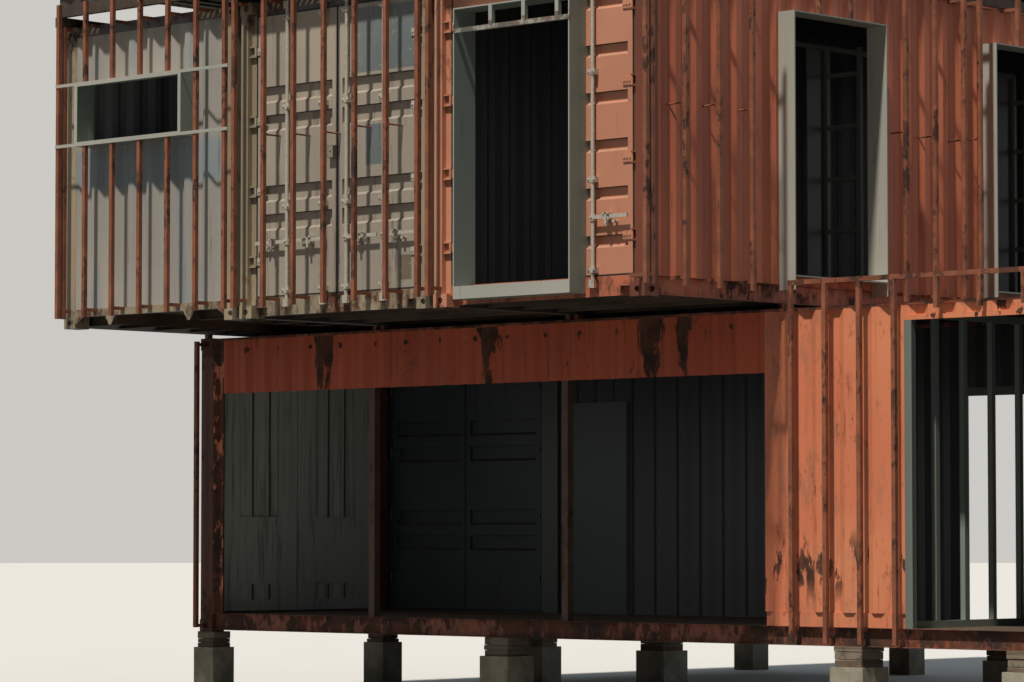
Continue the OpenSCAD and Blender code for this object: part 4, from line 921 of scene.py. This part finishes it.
        frames = by_container(tones.grey_post, tones.grey_post, side)
        coat("upper post paint", "upper_posts", frames, rust=0.36, seed=29.0, marks=post_marks,
             inner=upper_inner)
        coat("upper rail paint", "upper_rails", frames, rust=0.42, seed=30.0, marks=header,
             inner=upper_inner)
        coat("upper wall paint", "upper_walls upper_roofs",
             by_container(tones.grey_wall, tones.grey_door, side), rust=0.3, streaks=0.6, seed=34.0,
             inner=upper_inner)
        coat("grey wall paint", "grey_end_wall", tones.grey_wall, rust=0.12, seed=39.0, foot=0.12,
             marks=window_shadow_band, inner=upper_inner)
        coat("grey door paint", "grey_doors back_doors", tones.grey_door, rust=0.22, streaks=0.7,
             seed=44.0, foot=0.15, marks=door_patches, inner=upper_inner)
        coat("salmon paint", "orange_doors", tones.salmon, rust=0.15, streaks=0.45, seed=49.0,
             foot=0.15, inner=upper_inner)
        coat("side paint", "window_wall window_lintels", side, rust=0.22, streaks=0.75, seed=54.0,
             foot=0.15, inner=upper_inner)
        return {"FINISHED"}


class CABIN_OT_frames(bpy.types.Operator):
    """Finish the window boxes, the doorway, the bay, the bars and the roof"""

    bl_idname = "cabin.frames"
    bl_label = "Frames and bars"

    def execute(self, context):
        tones = paints()
        plate, pale = tones.plate, tones.pale_plate

        def rusty_transom(net, place):
            """Rust along the lower bar over the doorway, and spots on its sill."""
            _, along, up = net.split(place)
            bar = net.between(up, DOORWAY_HIGH.z - 0.23, DOORWAY_HIGH.z - 0.14, 0.002)
            ahead = net.below(along, DOORWAY_LOW.y + 0.012)
            patch = net.smooth(net.noise(place, 9.0, 6.0, 0.7), 0.40, 0.5)
            sill = net.below(up, DOORWAY_LOW.z + 0.2)
            spots = net.smooth(net.noise(place, 15.0, 6.0, 0.75, (1.0, 1.0, 2.5)), 0.64, 0.68)
            return net.either(net.times(bar, ahead, patch, 0.75), net.times(sill, spots, 0.6))

        dress(frame_plate("frame plate", plate, pale), "high_window side_windows")
        dress(frame_plate("doorway plate", plate, pale, rusty_transom), "upper_doorway")
        # Copies of the plate as painted shade: the bay frame and the inner frames are darker, the
        # back frames darkest, while the studs keep the plate itself; each copy's faces that look to
        # the front and up are paler, as painted light
        for name, node, first, second in (
            ("bay plate", "bay_frame", 0.6, 0.75), ("stud plate", "bay_studs", 1.0, 1.15),
            ("inner frame plate", "inner_frames", 0.6, 0.8),
            ("back frame plate", "back_frames", 0.3, 0.4),
        ):
            dress(frame_plate(name, shade(plate, first), shade(plate, second)), node)
        dress(rusty_tube("rusty tube", tones.bar),
              "front_bars side_bars back_bars lower_bars terrace_rail back_support bearing_plates")
        dress(rusty_tube("opening tube", tones.opening, 5.0), "opening_posts")
        dress(rusty_tube("rusty beam", tones.beam, 8.0), "roof_beams roof_joists")
        dress(zinc_steel("zinc steel", tones.zinc), "grey_door_rods orange_door_rod")
        dress(steel_paint("roof paint", tones.roof, rust=0.3, streaks=0.4, seed=61.0), "roof_sheet")
        return {"FINISHED"}


class CABIN_OT_base(bpy.types.Operator):
    """Finish the floors and the piers"""

    bl_idname = "cabin.base"
    bl_label = "Floors and piers"

    def execute(self, context):
        tones = paints()
        dress(plywood("floor plywood", tones.ply), "lower_floor rear_floor upper_floors")
        dress(cast_concrete("pier concrete", tones.concrete), "piers")
        return {"FINISHED"}


class CABIN_OT_packing(bpy.types.Operator):
    """Build the packing stacks on the piers from rough layers"""

    bl_idname = "cabin.packing"
    bl_label = "Packing stacks"

    def execute(self, context):
        draw = random.Random(context.scene.cabin_wear.seed)
        layers = context.scene.cabin_sizes.layers
        shape = Shape()
        seam = 0.002
        for low, high in loose_parts("pier_packers"):
            cuts = sorted(draw.uniform(0.22, 0.45) + k * 0.3 for k in range(layers - 1))
            levels = [0.0, *(min(0.85, cut) for cut in cuts), 1.0]
            rise = high.z - low.z
            for foot, head in zip(levels, levels[1:]):
                inset = Vector((draw.uniform(0.0, 0.016), draw.uniform(0.0, 0.016), 0))
                bottom = low + inset + Vector((0, 0, rise * foot))
                top = Vector((high.x, high.y, low.z + rise * head)) - inset
                if head < 1.0:
                    top.z -= seam
                shape.block(bottom, top)
        material = rough_block("pier packing", paints().packer)
        made = shape.piece("packing_stacks", material, ROOT, "packing", bevel=0.005)
        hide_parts("pier_packers")
        return {"FINISHED"}


class CABIN_OT_seals(bpy.types.Operator):
    """Lay rubber seals round the container doors' leaves"""

    bl_idname = "cabin.seals"
    bl_label = "Door seals"

    def execute(self, context):
        reach = context.scene.cabin_sizes.seal
        material = rubber("door rubber")
        back, front, lap = LEAF_FRONT + 0.012, LEAF_FRONT - 0.002, 0.006
        foot, head, flat = LEAF_FOOT + lap, LEAF_HEAD - lap, reach * SILL_SEAL
        for end in DOOR_ENDS:
            at = end.point
            for side, body, label in end.leaves():
                shape = Shape()
                hinge, meet = end.leaf(side)
                stop = meet
                if end.name == "right":
                    stop = (DOORWAY_LOW if side < 0 else DOORWAY_HIGH).x - end.origin.x
                else:
                    shape.block(at(meet + side * lap, front, foot),
                                at(meet - side * reach, back, head))
                if body == ROOT:
                    shape.block(at(hinge - side * lap, front, foot),
                                at(hinge + side * reach, back, head))
                shape.block(at(hinge, front, foot), at(stop, back, LEAF_FOOT - flat))
                shape.block(at(hinge, front, head), at(meet, back, LEAF_HEAD + flat))
                shape.piece(f"{end.name}_seal_{label}", material, body, "galvanised", bevel=0.0015)
        return {"FINISHED"}


class CABIN_OT_hinges(bpy.types.Operator):
    """Bolt the hinge blades, the rod guides and the handles of the container doors"""

    bl_idname = "cabin.hinges"
    bl_label = "Door fittings"

    def execute(self, context):
        tones = paints()
        zinc = zinc_steel("fitting zinc", tones.zinc, 0.42)
        finishes = {
            "zinc": zinc,
            "salmon": steel_paint("painted fittings", tones.salmon, rust=0.3, seed=71.0),
            "dark": steel_paint("dark fittings", tones.dark, rust=0.3, seed=72.0),
        }
        for end in DOOR_ENDS:
            for side, body, label in end.leaves():
                shape = Shape()
                self.hinge_plates(shape, end, side)
                shape.piece(f"{end.name}_hinges_{label}", finishes[end.paint], body, "galvanised",
                            bevel=0.001)
                places = end.rod_places(side)
                if places:
                    shape = Shape()
                    self.rod_bolts(shape, end, side, places)
                    shape.piece(f"{end.name}_rod_fittings_{label}", zinc, body, "galvanised",
                                bevel=0.001)
        return {"FINISHED"}

    @staticmethod
    def hinge_plates(shape, end, side):
        """Bolted plates on the hinge blades, or weld beads where the blades are painted dark."""
        at, hinge = end.point, end.leaf(side)[0]
        near, far = hinge - side * 0.012, hinge - side * BLADE_LENGTH
        front, half = LEAF_FRONT - BLADE_THICK, BLADE_HEIGHT / 2
        for k in range(HINGES):
            z = LEAF_FOOT + (LEAF_HEAD - LEAF_FOOT) * (k + 0.5) / HINGES
            if end.paint == "dark":
                for level in (z - half, z + half):
                    shape.rod(at(near, LEAF_FRONT, level), at(far, LEAF_FRONT, level), 0.004, 6)
                continue
            shape.block(at(near, front, z - half + 0.006),
                        at(hinge - side * (BLADE_LENGTH - 0.004), front - 0.0025, z + half - 0.006))
            for step in (0.030, 0.062, 0.092):
                shape.bolt(at(hinge - side * step, front - 0.0025, z), -end.inward)

    @staticmethod
    def rod_bolts(shape, end, side, places):
        """Bolts on the rod guides, and a pivot, latch and eye on each handle."""
        at, outward = end.point, -end.inward
        grip = LEAF_FRONT - ROD_AHEAD - 0.026
        for x in places:
            for z in (GUIDE_EDGE, LEAF_HEAD - LEAF_FOOT - GUIDE_EDGE, *BAND_GUIDES):
                for shift in (-0.029, 0.029):
                    shape.bolt(at(x + shift, LEAF_FRONT - GUIDE_FRONT, LEAF_FOOT + z), outward)
            shape.bolt(at(x, grip, HANDLE_HEIGHT), outward)
            catch = x + side * CATCH_PLACE
            for half, low, high in ((0.038, 0.018, 0.030), (0.012, -0.075, 0.030)):
                shape.block(at(catch - half, grip - 0.004, HANDLE_HEIGHT + low),
                            at(catch + half, grip - 0.010, HANDLE_HEIGHT + high))
            for past, ahead, drop, radius in (
                (0.0, -0.012, 0.058, 0.011), (0.075, 0.004, 0.045, 0.014),
            ):
                shape.rod(at(catch + side * past, grip + ahead, HANDLE_HEIGHT - drop),
                          at(catch + side * past, LEAF_FRONT, HANDLE_HEIGHT - drop), radius)


class CABIN_OT_ties(bpy.types.Operator):
    """Tie the long cladding bars to the walls at half height"""

    bl_idname = "cabin.ties"
    bl_label = "Wall ties"

    def execute(self, context):
        radius = context.scene.cabin_sizes.tie
        level = UPPER_LOW.z + TIE_LEVEL
        draw = random.Random(context.scene.cabin_wear.seed)
        shape = Shape()

        def tie(at, middle, z, wall, end_z):
            """A tie and the plate behind its bar. at places a depth behind the bar's face."""
            half, rise = 0.024, 0.012
            shape.rod(at(0.005, middle, z), at(wall, middle, end_z), radius, 8)
            shape.block(at(BAR_SIDE - 0.001, middle - half, z - rise),
                        at(BAR_SIDE + 0.004, middle + half, z + rise))

        for low, high in loose_parts("side_bars"):
            middle, face = (low.y + high.y) / 2, high.x
            if high.z - low.z < HEIGHT or middle < UPPER_LOW.y + WIDTH / 10:
                continue
            z = level + draw.uniform(-0.03, 0.03)
            end_z = z + draw.uniform(-0.01, 0.01)
            wall = face - UPPER_HIGH.x + WALL_FACE
            tie(lambda deep, along, up: (face - deep, along, up), middle, z, wall, end_z)
        for low, high in loose_parts("front_bars"):
            middle, face = (low.x + high.x) / 2, low.y
            if high.z - low.z < HEIGHT or not SECOND_LINE + 0.2 < middle < THIRD_LINE - 0.2:
                continue
            z = level + draw.uniform(-0.05, 0.05)
            wall = UPPER_LOW.y + LEAF_FRONT + 0.002 - face
            tie(lambda deep, along, up: (along, face + deep, up), middle, z, wall, z)
        material = rusty_tube("tie steel", paints().bar, 12.0)
        shape.piece("wall_ties", material, ROOT, "rusty_bars", bevel=0.001)
        return {"FINISHED"}


class CABIN_OT_lock_box(bpy.types.Operator):
    """Weld the small lock cover over the meeting line of the middle doors"""

    bl_idname = "cabin.lock_box"
    bl_label = "Lock cover"

    def execute(self, context):
        end, shape = DOOR_ENDS[0], Shape()
        x, z, half, height, deep, wall = WIDTH / 2 - 0.045, 1.40, 0.042, 0.11, 0.045, 0.006
        back, front, top = LEAF_FRONT, LEAF_FRONT - deep, z + height
        for first, second in (
            ((x - half, back, z), (x - half + wall, front, top)),
            ((x + half - wall, back, z), (x + half, front, top)),
            ((x - half, front, z), (x + half, front + wall, top)),
            ((x - half, back, top - wall), (x + half, front, top)),
        ):
            shape.block(end.point(*first), end.point(*second))
        shape.bolt(end.point(x, front, z + height * 0.6), -end.inward)
        material = zinc_steel("cover steel", paints().grey_door, 0.5)
        shape.piece("lock_cover", material, ROOT, "grey_steel", bevel=0.002)
        return {"FINISHED"}


class CABIN_OT_roof_screws(bpy.types.Operator):
    """Screw the roof sheet down along the beams"""

    bl_idname = "cabin.roof_screws"
    bl_label = "Roof screws"

    def execute(self, context):
        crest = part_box("roof_sheet")[1].z
        vertices = NODES["roof_sheet"].data.vertices
        shape = Shape()
        tops = sorted({round(v.co.x, 3) for v in vertices if v.co.z > crest - 0.0005})
        ribs = [(a + b) / 2 for a, b in zip(tops, tops[1:]) if 0.02 < b - a < 0.12]
        washer, head, sunk = 0.012, 0.007, 0.003
        for low, high in loose_parts("roof_beams"):
            y = (low.y + high.y) / 2
            for x in ribs:
                shape.rod((x, y, crest - sunk - 0.002), (x, y, crest - sunk + 0.0015), washer, 8)
                shape.rod((x, y, crest - sunk), (x, y, crest - 0.0002), head, 6)
        material = zinc_steel("screw zinc", paints().zinc, 0.5)
        shape.piece("roof_screws", material, ROOT, "galvanised")
        return {"FINISHED"}


class CABIN_OT_stage(bpy.types.Operator):
    """Set up the floor, the light and the photograph's camera"""

    bl_idname = "cabin.stage"
    bl_label = "Stage"

    def execute(self, context):
        scene = context.scene
        mesh = bpy.data.meshes.new("stage_floor")
        shape = bmesh.new()
        bmesh.ops.create_circle(shape, cap_ends=True, segments=96, radius=STAGE_RADIUS)
        shape.to_mesh(mesh)
        shape.free()
        floor = bpy.data.objects.new("stage_floor", mesh)
        scene.collection.objects.link(floor)
        floor.location = STAGE_PLACE
        material, net, shader, place = new_material("stage floor")
        tone = paints().floor
        soft = net.noise(place, 0.8, 4.0, 0.5)
        pale = net.mix(soft, shade(tone, 0.97), shade(tone, 1.03))
        seen = net.node("LightPath").outputs["Is Camera Ray"]
        net.feed(shader.inputs["Base Color"], net.mix(seen, shade(tone, BOUNCE), pale))
        shader.inputs["Roughness"].default_value = 0.95
        mesh.materials.append(material)

        world = bpy.data.worlds.new("studio")
        world.use_nodes = True
        scene.world = world
        net = Net(world.node_tree)
        back = world.node_tree.nodes["Background"]
        path = net.node("LightPath").outputs
        seen = net.either(path["Is Camera Ray"], path["Is Glossy Ray"])
        away = net.split(net.node("TexCoord").outputs["Generated"])[1]
        fill = net.plus(net.times(net.smooth(away, -0.3, 0.9), BACK_FILL), FRONT_FILL)
        rest = net.times(fill, net.flip(seen))
        net.feed(back.inputs["Color"], net.mix(seen, SKY, shade(tone, 1.0)))
        net.feed(back.inputs["Strength"], net.plus(net.times(seen, 0.92), rest))

        lamp = bpy.data.lights.new("key", "SUN")
        lamp.energy = KEY_ENERGY
        lamp.angle = math.radians(KEY_ANGLE)
        lamp.color = KEY_TINT
        key = bpy.data.objects.new("key", lamp)
        towards = Vector(SUNWARD)
        key.rotation_euler = towards.to_track_quat("Z", "Y").to_euler()
        key.location = towards * 10
        scene.collection.objects.link(key)

        data = bpy.data.cameras.new("camera")
        data.sensor_width = SENSOR
        data.lens = CAMERA_LENS
        data.clip_end = SIGHT
        camera = bpy.data.objects.new("camera", data)
        camera.location = CAMERA_PLACE
        camera.rotation_euler = (math.radians(90 + CAMERA_PITCH), 0, math.radians(CAMERA_YAW))
        scene.collection.objects.link(camera)
        scene.camera = camera
        scene.view_settings.view_transform = "Standard"
        return {"FINISHED"}


class CABIN_PT_panel(bpy.types.Panel):
    """Cabin finish"""

    bl_idname = "CABIN_PT_panel"
    bl_label = "Container cabin"
    bl_space_type = "VIEW_3D"
    bl_region_type = "UI"
    bl_category = "Cabin"

    def draw(self, context):
        scene = context.scene
        for group in (scene.cabin_colours, scene.cabin_wear, scene.cabin_sizes):
            box = self.layout.box()
            for key in group.__annotations__:
                box.prop(group, key)
        for operator in OPERATORS:
            self.layout.operator(operator.bl_idname)


OPERATORS = (
    CABIN_OT_stage, CABIN_OT_steel, CABIN_OT_frames, CABIN_OT_base, CABIN_OT_packing,
    CABIN_OT_seals, CABIN_OT_hinges, CABIN_OT_ties, CABIN_OT_lock_box, CABIN_OT_roof_screws,
)
CLASSES = (CabinColours, CabinWear, CabinSizes, *OPERATORS, CABIN_PT_panel)


def register():
    for entry in CLASSES:
        bpy.utils.register_class(entry)
    bpy.types.Scene.cabin_colours = PointerProperty(type=CabinColours)
    bpy.types.Scene.cabin_wear = PointerProperty(type=CabinWear)
    bpy.types.Scene.cabin_sizes = PointerProperty(type=CabinSizes)


def unregister():
    del bpy.types.Scene.cabin_sizes
    del bpy.types.Scene.cabin_wear
    del bpy.types.Scene.cabin_colours
    for entry in reversed(CLASSES):
        bpy.utils.unregister_class(entry)


def main():
    register()
    bpy.ops.cabin.stage()
    bpy.ops.cabin.steel()
    bpy.ops.cabin.frames()
    bpy.ops.cabin.base()
    bpy.ops.cabin.packing()
    bpy.ops.cabin.seals()
    bpy.ops.cabin.hinges()
    bpy.ops.cabin.ties()
    bpy.ops.cabin.lock_box()
    bpy.ops.cabin.roof_screws()
    bpy.context.view_layer.update()


if __name__ == "__main__":
    main()
